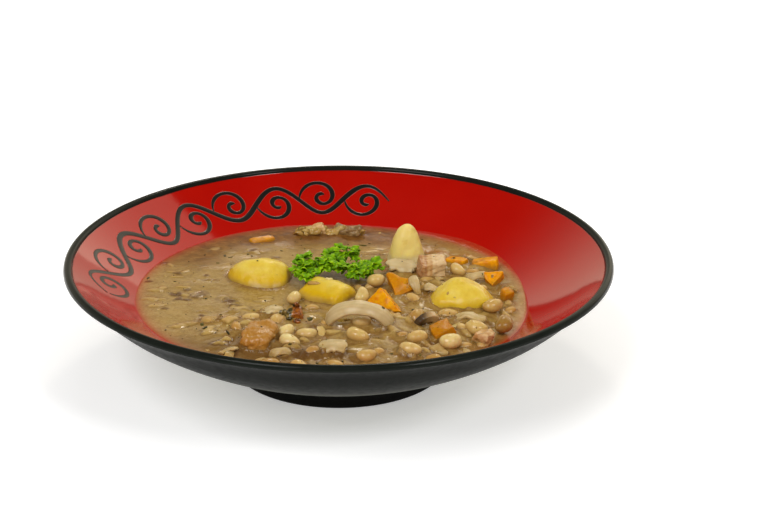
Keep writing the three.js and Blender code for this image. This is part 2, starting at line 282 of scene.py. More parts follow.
class Shader:
    """One material and short ways to add to its nodes."""

    def __init__(self, name, **settings):
        self.material = bpy.data.materials.new(name)
        self.material.use_nodes = True
        self.nodes = self.material.node_tree.nodes
        self.links = self.material.node_tree.links
        self.surface = self.nodes["Principled BSDF"]
        self.coordinates = self.nodes.new("ShaderNodeTexCoord").outputs["Object"]
        for label, value in settings.items():
            self.surface.inputs[label.replace("_", " ")].default_value = value

    def add(self, kind, inputs, **settings):
        node = self.nodes.new(kind)
        for key, value in settings.items():
            setattr(node, key, value)
        for key, value in inputs.items():
            self.feed(node.inputs[key], value)
        return node

    def feed(self, socket, value):
        if isinstance(value, bpy.types.NodeSocket):
            self.links.new(value, socket)
        else:
            socket.default_value = value

    def value(self, key):
        """The number that the mesh's points hold under a name."""
        return self.add("ShaderNodeAttribute", {}, attribute_name=key).outputs["Fac"]

    def stretched(self, x, y, z):
        """The object's coordinates, drawn out or packed together along each axis."""
        inputs = {"Vector": self.coordinates, "Scale": (x, y, z)}
        return self.add("ShaderNodeMapping", inputs).outputs["Vector"]

    def noise(self, size, detail=4.0, roughness=0.55, distortion=0.0, vector=None):
        """Noise from 0 to 1 whose lumps are about size millimetres."""
        inputs = {
            "Vector": vector or self.coordinates,
            "Scale": 1.0 / (size * MM),
            "Detail": detail,
            "Roughness": roughness,
            "Distortion": distortion,
        }
        return self.add("ShaderNodeTexNoise", inputs).outputs["Fac"]

    def cells(self, size, vector=None):
        """The distance to the nearest of some points about size millimetres apart."""
        inputs = {"Vector": vector or self.coordinates, "Scale": 1.0 / (size * MM)}
        return self.add("ShaderNodeTexVoronoi", inputs).outputs["Distance"]

    def ramp(self, factor, *stops):
        """A colour for each factor; the stops are (position, colour)."""
        node = self.add("ShaderNodeValToRGB", {"Fac": factor})
        elements = node.color_ramp.elements
        while len(elements) < len(stops):
            elements.new(0.5)
        for element, (position, colour) in zip(elements, stops):
            element.position = position
            element.color = colour
        return node.outputs["Color"]

    def tints(self, factor, *stops):
        """A colour for each factor; the stops are (position, colour as it is seen)."""
        return self.ramp(factor, *((position, srgb(*colour)) for position, colour in stops))

    def map(self, value, low, high, to_low=0.0, to_high=1.0):
        inputs = {"Value": value, "From Min": low, "From Max": high, "To Min": to_low, "To Max": to_high}
        return self.add("ShaderNodeMapRange", inputs, interpolation_type="SMOOTHSTEP").outputs["Result"]

    def math(self, operation, a, b=0.5, c=0.5):
        return self.add("ShaderNodeMath", {0: a, 1: b, 2: c}, operation=operation).outputs["Value"]

    def mix(self, factor, a, b):
        node = self.add("ShaderNodeMix", {0: factor}, data_type="RGBA")
        self.feed(node.inputs[6], a)
        self.feed(node.inputs[7], b)
        return node.outputs[2]

    def coats(self, colour, *coats):
        """The colour under coats of others, each (how far it covers, colour as it is seen)."""
        for cover, coat in coats:
            colour = self.mix(cover, colour, srgb(*coat))
        return colour

    def axis(self, letter):
        """A place along one axis, in metres; Z is the height above the table."""
        return self.add("ShaderNodeSeparateXYZ", {"Vector": self.coordinates}).outputs[letter]

    def soaked(self, colour, cloud, low, high, broth):
        """The colour, taken over by the broth's below a wandering height; low and high are millimetres."""
        height = self.math("ADD", self.axis("Z"), self.map(cloud, 0, 1, -1.4 * MM, 1.4 * MM))
        return self.coats(colour, (self.map(height, high * MM, low * MM, 0.0, 0.8), broth))

    def finish(self, colour, *layers, **sockets):
        """The material with this colour and relief; a layer is a height, its depth in mm and its strength."""
        sockets["Base Color"] = colour
        for height, depth, strength in layers:
            inputs = {"Height": height, "Distance": depth * MM, "Strength": strength}
            if "Normal" in sockets:
                inputs["Normal"] = sockets["Normal"]
            sockets["Normal"] = self.add("ShaderNodeBump", inputs).outputs["Normal"]
        for label, value in sockets.items():
            self.feed(self.surface.inputs[label], value)
        return self.material


WALL_RED = (0.38, 0.0035, 0.001, 1.0)


def red_glaze_material():
    """The gloss inside: red, and black over the lip, parted by a soft, slightly wandering line."""
    shader = Shader("glaze_red")
    reach = shader.math("ADD", shader.value("inside"), shader.map(shader.noise(14, 2), 0, 1, -0.5, 0.5))
    inside = shader.map(reach, -0.45, 0.35)
    cloud = shader.noise(30, 3)
    red = shader.mix(cloud, (0.36, 0.0025, 0.0008, 1.0), (0.41, 0.005, 0.0012, 1.0))
    black = shader.mix(cloud, (0.006, 0.007, 0.006, 1.0), (0.012, 0.013, 0.011, 1.0))
    dust = shader.map(shader.cells(2.6), 0.09, 0.02, 0.0, 0.05)
    roughness = shader.math("ADD", shader.map(inside, 0, 1, 0.16, 0.085), dust)
    return shader.finish(shader.mix(inside, black, red), (shader.noise(7, 2), 0.05, 0.5), Roughness=roughness)


def black_glaze_material():
    """The satin black outside, painted lighter and greyer towards the foot as a painted reflection of the
    bright table below.
    """
    shader = Shader("glaze_black", Specular_IOR_Level=0.008)
    black = shader.mix(shader.noise(24, 4), (0.004, 0.0046, 0.0036, 1.0), (0.007, 0.008, 0.006, 1.0))
    # painted reflection: the colour turns lighter and greyer towards the foot, standing in for the bright
    # table mirrored there
    painted_table_reflection = shader.map(shader.axis("Z"), 0.036, 0.007)
    colour = shader.mix(painted_table_reflection, black, (0.22, 0.226, 0.17, 1.0))
    roughness = shader.map(shader.noise(3, 4), 0.3, 0.7, 0.3, 0.38)
    return shader.finish(colour, (shader.noise(5, 3), 0.06, 0.4), Roughness=roughness)


def lip_material():
    """The black gloss of the lip."""
    shader = Shader("glaze_lip", Specular_IOR_Level=0.07)
    cloud = shader.noise(12, 3)
    colour = shader.mix(cloud, (0.006, 0.008, 0.006, 1.0), (0.013, 0.015, 0.012, 1.0))
    roughness = shader.map(cloud, 0.3, 0.7, 0.14, 0.2)
    return shader.finish(colour, (shader.noise(4, 2), 0.05, 0.4), Roughness=roughness)


def foot_material():
    """The dull black of the foot ring."""
    shader = Shader("glaze_foot", Specular_IOR_Level=0.06)
    grain = shader.noise(1.2, 4)
    colour = shader.mix(grain, (0.002, 0.002, 0.002, 1.0), (0.005, 0.005, 0.004, 1.0))
    return shader.finish(colour, (grain, 0.08, 0.5), Roughness=shader.map(grain, 0.3, 0.7, 0.6, 0.75))


def stroke_material():
    """The thick black glaze of the painted scroll, with a narrow pale halo at its edges."""
    shader = Shader("scroll", Roughness=0.3, Specular_IOR_Level=0.35)
    colour = shader.ramp(
        shader.value("halo"), (0.0, (0.006, 0.006, 0.005, 1.0)), (0.62, (0.010, 0.006, 0.005, 1.0)),
        (0.86, (0.34, 0.06, 0.035, 1.0)), (1.0, (0.38, 0.02, 0.008, 1.0)),
    )
    return shader.finish(colour, (shader.noise(1.4, 3), 0.08, 0.6))


def broth_material():
    """Thick cloudy broth: blotched tan, browner where it is clear, red where it thins out on the wall;
    painted shade darkens its hollows, the broth round the pieces in it, the ring round each sunk thing and
    its front, and painted light brightens its crests.
    """
    shader = Shader("broth", Subsurface_Weight=0.2, Subsurface_Scale=0.002, Subsurface_Radius=(1.0, 0.6, 0.3),
                    Specular_IOR_Level=0.24)
    flow = shader.stretched(1.0, 1.35, 1.0)
    cloud = shader.noise(19, 4, 0.55, 0.6, flow)
    fine = shader.noise(4.6, 5, 0.62, 0.5, flow)
    grain = shader.noise(1.5, 3, 0.6, 0.3, flow)
    hollow_shade_crest_light, tone, contact = (shader.value(key) for key in ("hollow_shade_crest_light", "tone", "contact"))
    tan = shader.tints(cloud, (0.3, (140, 109, 52)), (0.5, (156, 125, 64)), (0.7, (170, 140, 80)))
    mottled = shader.tints(fine, (0.28, (122, 93, 40)), (0.5, (154, 123, 62)), (0.74, (182, 152, 92)))
    cloudy = shader.coats(
        shader.mix(0.4, tan, mottled),
        (shader.map(grain, 0.52, 0.72, 0.0, 0.45), (190, 162, 100)),
        (shader.map(grain, 0.48, 0.3, 0.0, 0.45), (122, 92, 42)),
        # painted shade in the broth's hollows, and painted light on its crests
        (shader.map(hollow_shade_crest_light, 0.05, 0.9, 0.0, 0.65), (122, 84, 36)),
        (shader.map(hollow_shade_crest_light, -0.05, -0.9, 0.0, 0.6), (194, 164, 96)),
    )
    brown = shader.tints(fine, (0.3, (84, 50, 16)), (0.55, (118, 77, 28)), (0.75, (146, 106, 50)))
    curls = shader.noise(5.2, 2, 0.5, 1.6, flow)
    line = shader.map(shader.math("ABSOLUTE", shader.math("SUBTRACT", curls, 0.53)), 0.016, 0.004)
    patch = shader.map(shader.noise(11, 2), 0.5, 0.62, 0.0, 0.6)
    colour = shader.coats(
        # clear holds the clear brown broth, and also painted shade round the foot of each piece
        shader.mix(shader.value("clear"), cloudy, brown),
        # tone: pale and dark things under the broth, and below 0 also painted shade over its front and round
        # each sunk thing
        (shader.map(tone, 0.0, 1.0, 0.0, 0.85), (188, 155, 98)),
        (shader.map(tone, 0.0, -1.0), (98, 68, 34)),
        (shader.math("MULTIPLY", line, patch), (96, 66, 34)),
        (shader.map(shader.cells(2.6, flow), 0.09, 0.03, 0.0, 0.6), (88, 64, 34)),
    )
    wet = shader.math("MULTIPLY", shader.noise(1.1, 2), contact)
    gloss = shader.math("SUBTRACT", shader.map(cloud, 0.3, 0.7, 0.1, 0.2), shader.map(contact, 0, 1, 0, 0.06))
    return shader.finish(
        shader.mix(shader.value("cover"), WALL_RED, colour),
        (fine, 0.5, 0.3), (shader.noise(1.1, 3), 0.14, 0.35), (wet, 0.5, 0.8),
        Roughness=shader.math("MULTIPLY_ADD", shader.value("dull"), 0.35, gloss),
    )


def potato_material():
    """Boiled potato: golden or milky low down, as its values say, the golden band partly painted shade on its
    lower sides, and soaked at its foot.
    """
    shader = Shader("potato", Roughness=0.3, Subsurface_Weight=0.35, Subsurface_Scale=0.003,
                    Subsurface_Radius=(1.0, 0.75, 0.2), Specular_IOR_Level=0.25)
    cloud = shader.noise(9, 4, 0.6)
    gold_and_shade = shader.value("gold_and_shade")
    height = shader.axis("Z")
    colour = shader.coats(
        shader.tints(cloud, (0.3, (206, 172, 50)), (0.5, (216, 188, 72)), (0.75, (226, 204, 104))),
        (shader.map(gold_and_shade, 0.5, 0.0, 0.0, 0.75), (230, 208, 128)),
        # a deeper, darker yellow low down: partly the potato's own golden colour, partly painted shade on its
        # lower sides
        (shader.math("MULTIPLY", shader.map(height, 0.0455, 0.0405), gold_and_shade), (204, 164, 0)),
        (shader.map(shader.noise(4.2, 3), 0.58, 0.72, 0.0, 0.25), (190, 146, 40)),
    )
    colour = shader.soaked(colour, cloud, 37.6, 41.6, (164, 132, 66))
    milk = shader.math("ADD", height, shader.map(cloud, 0, 1, -0.003, 0.003))
    milk = shader.math("MULTIPLY", shader.map(milk, 0.0465, 0.0425, 0.0, 0.8), shader.value("milky"))
    specks = shader.map(shader.cells(4.2), 0.06, 0.03, 0.0, 0.5)
    colour = shader.coats(colour, (milk, (204, 184, 136)), (specks, (140, 98, 30)))
    return shader.finish(colour, (shader.noise(1.3, 5, 0.6), 0.22, 0.5), (shader.noise(5, 2), 0.7, 0.35))


def carrot_material():
    """Cooked carrot, fibrous, with a veil of broth over some pieces."""
    shader = Shader("carrot", Roughness=0.3, Subsurface_Weight=0.3, Subsurface_Scale=0.002,
                    Subsurface_Radius=(1.0, 0.45, 0.02), Specular_IOR_Level=0.18)
    cloud = shader.noise(4.4, 4, 0.6, 0.5)
    fibre = shader.noise(1.0, 3, 0.5, vector=shader.stretched(0.35, 0.35, 1.6))
    colour = shader.coats(
        shader.tints(cloud, (0.3, (200, 112, 0)), (0.52, (220, 146, 0)), (0.75, (230, 168, 2))),
        (shader.map(fibre, 0.5, 0.75, 0.0, 0.35), (232, 176, 22)),
        (shader.map(shader.noise(7, 3), 0.54, 0.68, 0.0, 0.7), (168, 106, 22)),
        (shader.value("veil"), (158, 98, 10)),
    )
    colour = shader.soaked(colour, cloud, 37.4, 41.0, (160, 112, 40))
    return shader.finish(colour, (fibre, 0.15, 0.5), (cloud, 0.5, 0.4))


def ham_material():
    """Cooked ham: pale fat where its fat value is above 0 and painted shade where it is below 0, golden where
    veil is below 0, wisps of broth above.
    """
    shader = Shader("ham", Roughness=0.36, Subsurface_Weight=0.15, Subsurface_Scale=0.002,
                    Subsurface_Radius=(1.0, 0.7, 0.4), Coat_Weight=0.2, Coat_Roughness=0.1)
    grain = shader.noise(2.4, 4, 0.6, 0.4, shader.stretched(0.6, 1.3, 1.3))
    patch = shader.noise(6.5, 3)
    veil = shader.value("veil")
    fat = shader.value("fat")
    golden = shader.math("MULTIPLY", shader.map(veil, 0.0, -1.0), shader.map(grain, 0.75, 0.4, 0.65, 1.3))
    colour = shader.coats(
        shader.tints(grain, (0.3, (168, 120, 68)), (0.5, (196, 152, 100)), (0.72, (214, 180, 130))),
        (shader.map(patch, 0.52, 0.66, 0.0, 0.75), (208, 176, 128)),
        (shader.map(patch, 0.45, 0.3, 0.0, 0.6), (176, 110, 44)),
        (golden, (168, 117, 42)),
        (shader.map(fat, 0.0, 1.0, 0.0, 0.85), (208, 178, 130)),
        # painted shade: where the fat value is below 0, the ham cube's left side is darkened
        (shader.map(fat, 0.0, -1.0, 0.0, 0.7), (158, 106, 66)),
        (shader.math("MULTIPLY", veil, shader.map(patch, 0.4, 0.55)), (196, 168, 100)),
    )
    colour = shader.soaked(colour, grain, 37.6, 41.0, (150, 116, 60))
    return shader.finish(colour, (grain, 0.4, 0.6))


def mushroom_material():
    shader = Shader("mushroom", Roughness=0.32, Subsurface_Weight=0.15, Subsurface_Scale=0.001,
                    Coat_Weight=0.2, Coat_Roughness=0.1)
    grain = shader.noise(2.2, 4, 0.6)
    colour = shader.coats(
        shader.tints(grain, (0.3, (92, 66, 36)), (0.5, (136, 106, 66)), (0.72, (172, 142, 96))),
        (shader.value("gills"), (52, 34, 20)), (shader.value("pale"), (184, 152, 104)),
    )
    return shader.finish(colour, (grain, 0.3, 0.5))


def tomato_material():
    """Cooked tomato on the right, dark herbs on the left of it."""
    shader = Shader("tomato", Roughness=0.24, Subsurface_Weight=0.2, Subsurface_Scale=0.001,
                    Subsurface_Radius=(1.0, 0.6, 0.3), Coat_Weight=0.4, Coat_Roughness=0.06)
    grain = shader.noise(2.2, 4, 0.6)
    place = shader.math("ADD", shader.axis("X"), shader.map(grain, 0, 1, -0.003, 0.003))
    right = shader.map(place, -0.0236, -0.0216)
    flesh = shader.tints(grain, (0.36, (70, 34, 8)), (0.52, (140, 74, 14)), (0.72, (182, 116, 40)))
    herbs = shader.tints(grain, (0.4, (50, 42, 12)), (0.52, (104, 84, 30)), (0.66, (180, 150, 84)))
    return shader.finish(shader.mix(right, herbs, flesh), (grain, 0.5, 0.8))


def onion_material():
    """Cooked onion: pale and waxy, with fine veins along it, taking on the broth's colour low down."""
    shader = Shader("onion", Roughness=0.36, Subsurface_Weight=0.6, Subsurface_Scale=0.003,
                    Subsurface_Radius=(1.0, 0.8, 0.5), Specular_IOR_Level=0.35)
    cloud = shader.noise(6, 3)
    vein = shader.value("vein")
    colour = shader.tints(cloud, (0.3, (178, 152, 100)), (0.55, (194, 170, 122)), (0.8, (208, 190, 146)))
    colour = shader.coats(colour, (shader.math("MULTIPLY", vein, 0.4), (164, 138, 84)))
    colour = shader.soaked(colour, cloud, 39.4, 43.8, (168, 138, 78))
    colour = shader.coats(colour, (shader.value("milky"), (212, 194, 150)))
    return shader.finish(colour, (vein, 0.12, 0.5), (shader.noise(1.6, 3), 0.14, 0.4))


def bean_material():
    """Cooked white bean: each has its own tint, its lower sides browner with a wet film and painted shade,
    and broth clings to its foot.
    """
    shader = Shader("bean", Roughness=0.22, Subsurface_Weight=0.3, Subsurface_Scale=0.0015,
                    Subsurface_Radius=(1.0, 0.65, 0.35), Specular_IOR_Level=0.4)
    tint = shader.tints(
        shader.value("tint"),
        (0.0, (146, 108, 46)), (0.3, (184, 146, 76)), (0.7, (204, 174, 104)), (1.0, (222, 202, 138)),
    )
    mottle = shader.noise(3.4, 3, 0.5)
    colour = shader.coats(
        tint,
        (shader.map(mottle, 0.48, 0.7, 0.0, 0.35), (172, 128, 70)),
        (shader.map(mottle, 0.46, 0.3, 0.0, 0.4), (216, 190, 134)),
        (shader.value("scar"), (140, 92, 46)),
        # painted shade with a wet film: the lower sides of each bean browner and darker
        (shader.math("MULTIPLY", shader.value("low"), 0.6), (172, 124, 60)),
        (shader.math("MULTIPLY", shader.value("soak"), 0.9), (160, 128, 66)),
    )
    return shader.finish(colour, (mottle, 0.25, 0.5), (shader.noise(1.2, 3), 0.06, 0.4))


def parsley_material():
    """Curly parsley, lighter towards the tips of its leaves, with painted light on the crests of their
    ruffles and painted shade in their folds.
    """
    shader = Shader("parsley", Roughness=0.42, Subsurface_Weight=0.2, Subsurface_Scale=0.001,
                    Subsurface_Radius=(0.5, 1.0, 0.05), Specular_IOR_Level=0.14)
    colour = shader.tints(
        shader.value("tip_and_crest_light"),
        (0.0, (62, 98, 0)), (0.35, (104, 150, 0)), (0.7, (136, 178, 4)), (1.0, (168, 204, 30)),
    )
    shade = shader.map(shader.noise(3.0, 3), 0.45, 0.7, 0.0, 0.5)
    return shader.finish(shader.coats(colour, (shade, (62, 102, 0))), (shader.noise(0.9, 3), 0.1, 0.5))


def herb_material():
    shader = Shader("herb", Roughness=0.4, Specular_IOR_Level=0.15)
    tint = shader.value("tint")
    colour = shader.tints(tint, (0.0, (38, 32, 10)), (0.5, (64, 58, 16)), (1.0, (106, 96, 40)))
    return shader.finish(colour, (shader.noise(0.5, 2), 0.1, 0.6))


def pepper_material():
    shader = Shader("pepper", Roughness=0.4, Specular_IOR_Level=0.2)
    tint = shader.value("tint")
    colour = shader.tints(tint, (0.0, (18, 11, 6)), (0.6, (48, 30, 14)), (1.0, (96, 64, 28)))
    return shader.finish(colour, (shader.noise(0.4, 2), 0.05, 0.5))


def floor_material():
    """A pale woven cloth, lit a little from within so that it shows nearly white."""
    shader = Shader("floor", Roughness=0.9, Emission_Color=(1.0, 1.0, 1.0, 1.0), Emission_Strength=0.37)
    weave = shader.noise(1.2, 3, 0.6)
    colour = shader.mix(weave, (0.84, 0.84, 0.85, 1.0), (0.88, 0.88, 0.89, 1.0))
    return shader.finish(colour, (weave, 0.1, 0.25))


# ================================================================ the bowl
OUTER_WALL = [
    (FOOT_RADIUS + 2, FOOT_HEIGHT), (75, 16.8), (96, 27.4), (115, 39.8), (129, 52.6),
    (RIM_RADIUS, BOWL_HEIGHT - 2.6),
]
INNER_WALL = [
    (0, FLOOR_TOP), (42, 13.6), (68, 20.4), (STEW_RADIUS, STEW_LEVEL), (117, 48),
    (RIM_RADIUS - LIP_THICKNESS, BOWL_HEIGHT - 2.2),
]
WALL_CURVE = catmull_rom(INNER_WALL, 400)
RED_EDGE = 130.6
FAR_OUTSIDE = -20.0  # millimetres past the red's edge, for all of the outside
TURNS = 256
LIP_ROWS = 15


def wall_height(radius):
    """How high the bowl's inner wall is at a distance from the middle."""
    return np.interp(radius, WALL_CURVE[:, 0], WALL_CURVE[:, 1])


def bowl_profile():
    """The section from under the foot over the lip to the inside's middle, and where its parts end."""
    foot_inner = FOOT_RADIUS - FOOT_WIDTH
    underside = [(0.01, 5), (foot_inner * 0.5, 4.95), (foot_inner - 4, 4.7), (foot_inner - 2, 4.2)]
    foot = [
        (foot_inner - 0.7, 1.6), (foot_inner, 0.35), (foot_inner + 0.7, 0.0),
        (FOOT_RADIUS - 0.6, 0.0), (FOOT_RADIUS + 0.25, 0.35), (FOOT_RADIUS + 0.8, 1.3),
        (FOOT_RADIUS + 0.9, 3.6), (FOOT_RADIUS + 1.3, 6.0),
    ]
    outer = [tuple(point) for point in catmull_rom(OUTER_WALL, 46)]
    lip = catmull_rom(
        [
            (RIM_RADIUS, BOWL_HEIGHT - 2.6), (RIM_RADIUS - 0.25, BOWL_HEIGHT - 1.3),
            (RIM_RADIUS - 1.1, BOWL_HEIGHT - 0.3), (RIM_RADIUS - 2.3, BOWL_HEIGHT),
            (RIM_RADIUS - 3.5, BOWL_HEIGHT - 0.45), (RIM_RADIUS - 4.15, BOWL_HEIGHT - 1.3),
            (RIM_RADIUS - LIP_THICKNESS, BOWL_HEIGHT - 2.2),
        ],
        14,
    )[1:-1]
    inner = [tuple(point) for point in catmull_rom(INNER_WALL, 90)[::-1]]
    inner[-1] = (0.01, FLOOR_TOP)
    base = underside + foot
    shell = base + outer + [tuple(point) for point in lip]
    return np.array(shell + inner), len(base), len(shell)


def make_bowl(finishes):
    """The glazed bowl; finishes are those of its inside, lip, outside and foot."""
    profile, foot_end, first_inner = bowl_profile()
    angles = np.linspace(0, 2 * math.pi, TURNS, endpoint=False)
    radius, height = profile[:, :1], profile[:, 1:]
    height = np.broadcast_to(height, (len(profile), TURNS))
    points = np.stack([radius * np.cos(angles), radius * np.sin(angles), height], axis=-1).reshape(-1, 3)
    inside = np.full(len(profile), FAR_OUTSIDE)
    inside[first_inner:] = RED_EDGE - profile[first_inner:, 0]
    faces = tube_faces(len(profile), TURNS)
    values = {"inside": np.repeat(inside, TURNS)}
    piece = new_piece("bowl_glazed", points, faces, finishes[0], values)
    for other in finishes[1:]:
        piece.data.materials.append(other)
    row = np.arange(len(faces)) // TURNS
    red, lip, black, foot = range(4)
    parts = [row < foot_end, row < first_inner - LIP_ROWS, row < first_inner]
    finish = np.select(parts, [foot, black, lip], red)
    finish[-2:] = (foot, red)
    piece.data.polygons.foreach_set("material_index", finish.astype(np.int32))
    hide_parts("bowl")


# ================================================================ the stew's surface
SURFACE_GRID = 288
FILM_END = 0.985  # how far out the film on the wall ends, as a share of the whole reach
STEPS_BELOW = (0.4, 8.0, 26.0, 62.0)  # how far in from its edge the stew's underside has its rings
SUNK_IN_HEAP = 50
SUNK_TONES = (0.8, 0.6, 0.5, 0.35, -0.35, -0.5)

# Where the broth stands higher or lower among the pieces: its place, its reach along X and Y, and its rise.
MOUNDS = [
    (9.4, -43, 11, 4.5, 2.2), (-3, -71.6, 9, 6.5, 1.9), (-32.6, -32, 8, 6, 2.3), (31, 24.4, 9, 5.5, 2.4),
    (62.6, -39.4, 9, 5.5, 1.8), (-14, -30, 8, 6, 0.8), (24, -30, 10, 8, 0.9), (-40, -66, 12, 6, 0.8),
    (-13, 80, 9, 7, 1.0), (5, 78, 12, 7, 1.1), (-43, 73, 10, 4, -1.5), (-4, 81, 6, 5, 0.9),
    (-38.5, -74, 12, 6.5, -3.4), (-15.6, -58, 8, 5, -1.1), (40, -41, 7, 4, -1.6),
]

# What lies just under the open broth at the left: where, how long and wide, its turn, rise and tone.
SUNK_THINGS = [
    (-61.8, -36.1, 11.0, 5.6, -8, 0.9, 0.8), (-52.0, -17.0, 8.0, 6.4, 20, 0.7, -0.55),
    (-76.5, -42.7, 9.0, 5.0, 10, 0.5, 0.4), (-61.9, -50.9, 7.0, 5.0, 30, 0.6, 0.5),
    (-78.0, 6.0, 9.0, 2.6, -10, 0.4, 0.5), (-66.0, 16.0, 8.0, 2.4, 5, 0.35, -0.6),
    (-84.0, 20.0, 9.0, 2.4, -8, 0.4, 0.5), (-70.0, -5.0, 12.0, 8.0, 50, 0.5, -0.7),
    (-88.0, -10.0, 7.0, 3.2, 12, 0.35, 0.5), (-48.0, -50.9, 6.0, 4.2, 0, 0.5, -0.4),
    (-56.0, -64.0, 10.0, 5.0, -12, 0.7, 0.3), (-44.0, -44.0, 9.0, 4.0, 8, 0.6, 0.35),
    (-70.0, 44.0, 10.0, 3.0, 18, 0.3, -0.4), (-45.0, 55.0, 12.0, 4.0, 6, 0.3, 0.25),
    (-20.0, 60.0, 14.0, 4.0, -6, 0.35, -0.35), (-38.0, -10.0, 9.0, 4.0, 14, 0.4, 0.3),
    (-50.7, -72.4, 8.0, 5.0, 0, 0.5, -0.4), (-66.0, -26.0, 8.0, 3.6, -20, 0.35, -0.4),
    (14.0, 52.0, 16.0, 5.0, 8, 0.5, -0.4), (52.0, 52.0, 14.0, 5.0, -14, 0.5, -0.3),
    (-87.5, 35.2, 6.5, 2.7, -55, 0.4, 0.71), (-86, 26, 6.9, 2.6, -8, 0.4, 0.77),
    (-79, 27.4, 6.5, 2.3, 39, 0.4, 0.71), (-92, 2, 9, 5.6, 7, 0.4, 0.37),
    (-88.4, 4.6, 4.9, 3.8, 23, 0.4, 0.83), (-77, -4, 6.5, 4.6, -40, 0.4, 0.37),
    (-81, -1.6, 5.5, 4.2, 7, 0.4, 0.02), (-93, -10, 8.5, 5.8, -9, 0.4, 0.48),
    (-90, -17.6, 9.5, 5.2, 12, 0.4, 0.6), (-57.4, -7.6, 7.5, 7.2, 1, 0.4, -0.21),
    (-53.6, -10.4, 7.5, 5.6, -30, 0.4, -0.32), (-72, -39.5, 9.5, 6.2, 15, 0.4, 0.37),
    (-62.4, -47, 6.5, 7.6, -41, 0.4, 0.77), (-66.4, 58.6, 6.5, 5.2, 6, 0.4, 0.48),
    (-71, 56, 5.5, 4.2, 53, 0.4, -0.09), (-58, 55, 8.5, 4.2, 25, 0.4, -0.21),
    (16, 58.8, 13.5, 3, 9, 0.4, 0.71), (13, 54.6, 10.5, 2.8, -15, 0.4, 0.6),
    (20, 62.4, 12.5, 2.6, -18, 0.4, 0.48), (25.6, 55.6, 10.5, 2.8, 17, 0.4, 0.71),
    (-37, -6, 7.5, 4.2, 10, 0.4, 0.25), (-48, -21, 10.5, 5.8, 1, 0.4, 0.6),
    (-35.6, -49, 7.5, 5.2, 18, 0.4, 0.48), (-91.4, 37.4, 6.2, 2.7, 36, 0.3, -0.83),
    (-83.6, 24.2, 6.2, 2.5, -27, 0.3, -0.83), (-96.4, 12.6, 4.4, 3, 20, 0.3, -1.03),
    (-82.4, -4.6, 5.8, 3.4, -43, 0.3, -0.87), (-79.4, -3.6, 3.4, 5.2, 4, 0.3, -0.99),
    (-80, -9.4, 7.2, 3.2, 51, 0.3, -0.83), (-75.4, -10.8, 7.2, 3, -12, 0.3, -0.91),
    (-76, 2, 4.6, 3.2, 35, 0.3, -0.79), (-68, 21.6, 4.2, 3.2, -28, 0.3, -0.79),
    (-55.2, -12.6, 6.6, 2.8, 19, 0.3, -0.79), (-66.4, -30.6, 4.2, 3.2, -44, 0.3, -1.07),
    (-85, -22, 4.2, 2.4, 3, 0.3, -0.79), (-46, 58, 7.2, 3.2, 50, 0.3, -0.79),
    (-33, 48, 5.2, 2.8, -13, 0.3, -0.79),
]


def heap_share(x, y):
    """How thickly the beans lie at a place, as in the CAD."""
    right = smoothstep(x + 0.35 * (-y - 30), -25, 35)
    front = smoothstep(-y - 0.25 * x, 15, 60) * smoothstep(x, -75, -45)
    open_back = smoothstep(y, 30, 70)
    return np.maximum(right * (1 - 0.75 * open_back), front)


def surface_rise(x, y):
    """How far the heap lifts the broth, as in the CAD."""
    edge = 1 - smoothstep(np.hypot(x + STEW_SHIFT, y), STEW_RADIUS - 22, STEW_RADIUS - 4)
    lumps = np.sin(0.29 * x + 0.1 * y) * np.sin(0.31 * y - 0.06 * x)
    return edge * heap_share(x, y) * (HEAP_RISE + HEAP_LUMP * lumps)


def surface_height(x, y):
    """The broth's surface without what clings to the pieces."""
    points = np.stack([x, y, np.zeros_like(x)], axis=-1)
    calm = 1 - smoothstep(np.hypot(x + STEW_SHIFT, y), STEW_RADIUS - 14, STEW_RADIUS - 2)
    ripple = 0.16 * noise(points * (0.6, 1.2, 1), 12, 3, 2) + 0.05 * noise(points, 2.4, 9, 2)
    lumps = heap_share(x, y) * (0.7 * noise(points, 8, 21, 2) + 0.28 * noise(points, 2.6, 5, 2))
    level = STEW_LEVEL - STEW_TILT * x + surface_rise(x, y) + calm * (ripple + lumps)
    for mid_x, mid_y, reach_x, reach_y, rise in MOUNDS:
        level = level + rise * np.exp(-(((x - mid_x) / reach_x) ** 2) - ((y - mid_y) / reach_y) ** 2)
    return level


def sunk_in_heap():
    """More sunk things, where the beans lie thick: they show as soft lumps under the broth."""
    picker = random.Random(77)
    things = []
    while len(things) < SUNK_IN_HEAP:
        x, y = picker.uniform(-90, 90), picker.uniform(-92, 70)
        inside = math.hypot(x + STEW_SHIFT, y) < STEW_RADIUS - 8
        if inside and heap_share(x, y) > picker.uniform(0.25, 0.9):
            length = picker.uniform(6, 11)
            width = length * picker.uniform(0.45, 0.75)
            turn, rise = picker.uniform(-60, 60), picker.uniform(0.6, 1.7)
            things.append((x, y, length, width, turn, rise, picker.choice(SUNK_TONES)))
    return things


def sunk_relief(x, y):
    """The rise and the tone that the sunk things give the surface, with a ring of painted shade round the
    foot of each.
    """
    rise, tone = np.zeros_like(x), np.zeros_like(x)
    wander = noise(np.stack([x, y, np.zeros_like(x)], axis=-1), 3.2, 31, 2)
    for mid_x, mid_y, length, width, turn, height, shade in SUNK_THINGS + sunk_in_heap():
        angle = math.radians(turn)
        along = (x - mid_x) * math.cos(angle) + (y - mid_y) * math.sin(angle)
        across = -(x - mid_x) * math.sin(angle) + (y - mid_y) * math.cos(angle)
        reach = np.sqrt((2 * along / length) ** 2 + (2 * across / width) ** 2) + 0.4 * wander
        rise = np.maximum(rise, height * (1 - smoothstep(reach, 0.2, 1.15)))
        # painted shade: a darker ring round the foot of each sunk thing
        rim = np.exp(-(((reach - 1.02) / 0.16) ** 2))
        tone += shade * (1 - smoothstep(reach, 0.55, 1.0)) - 0.45 * rim
    return rise, np.clip(tone, -1, 1)


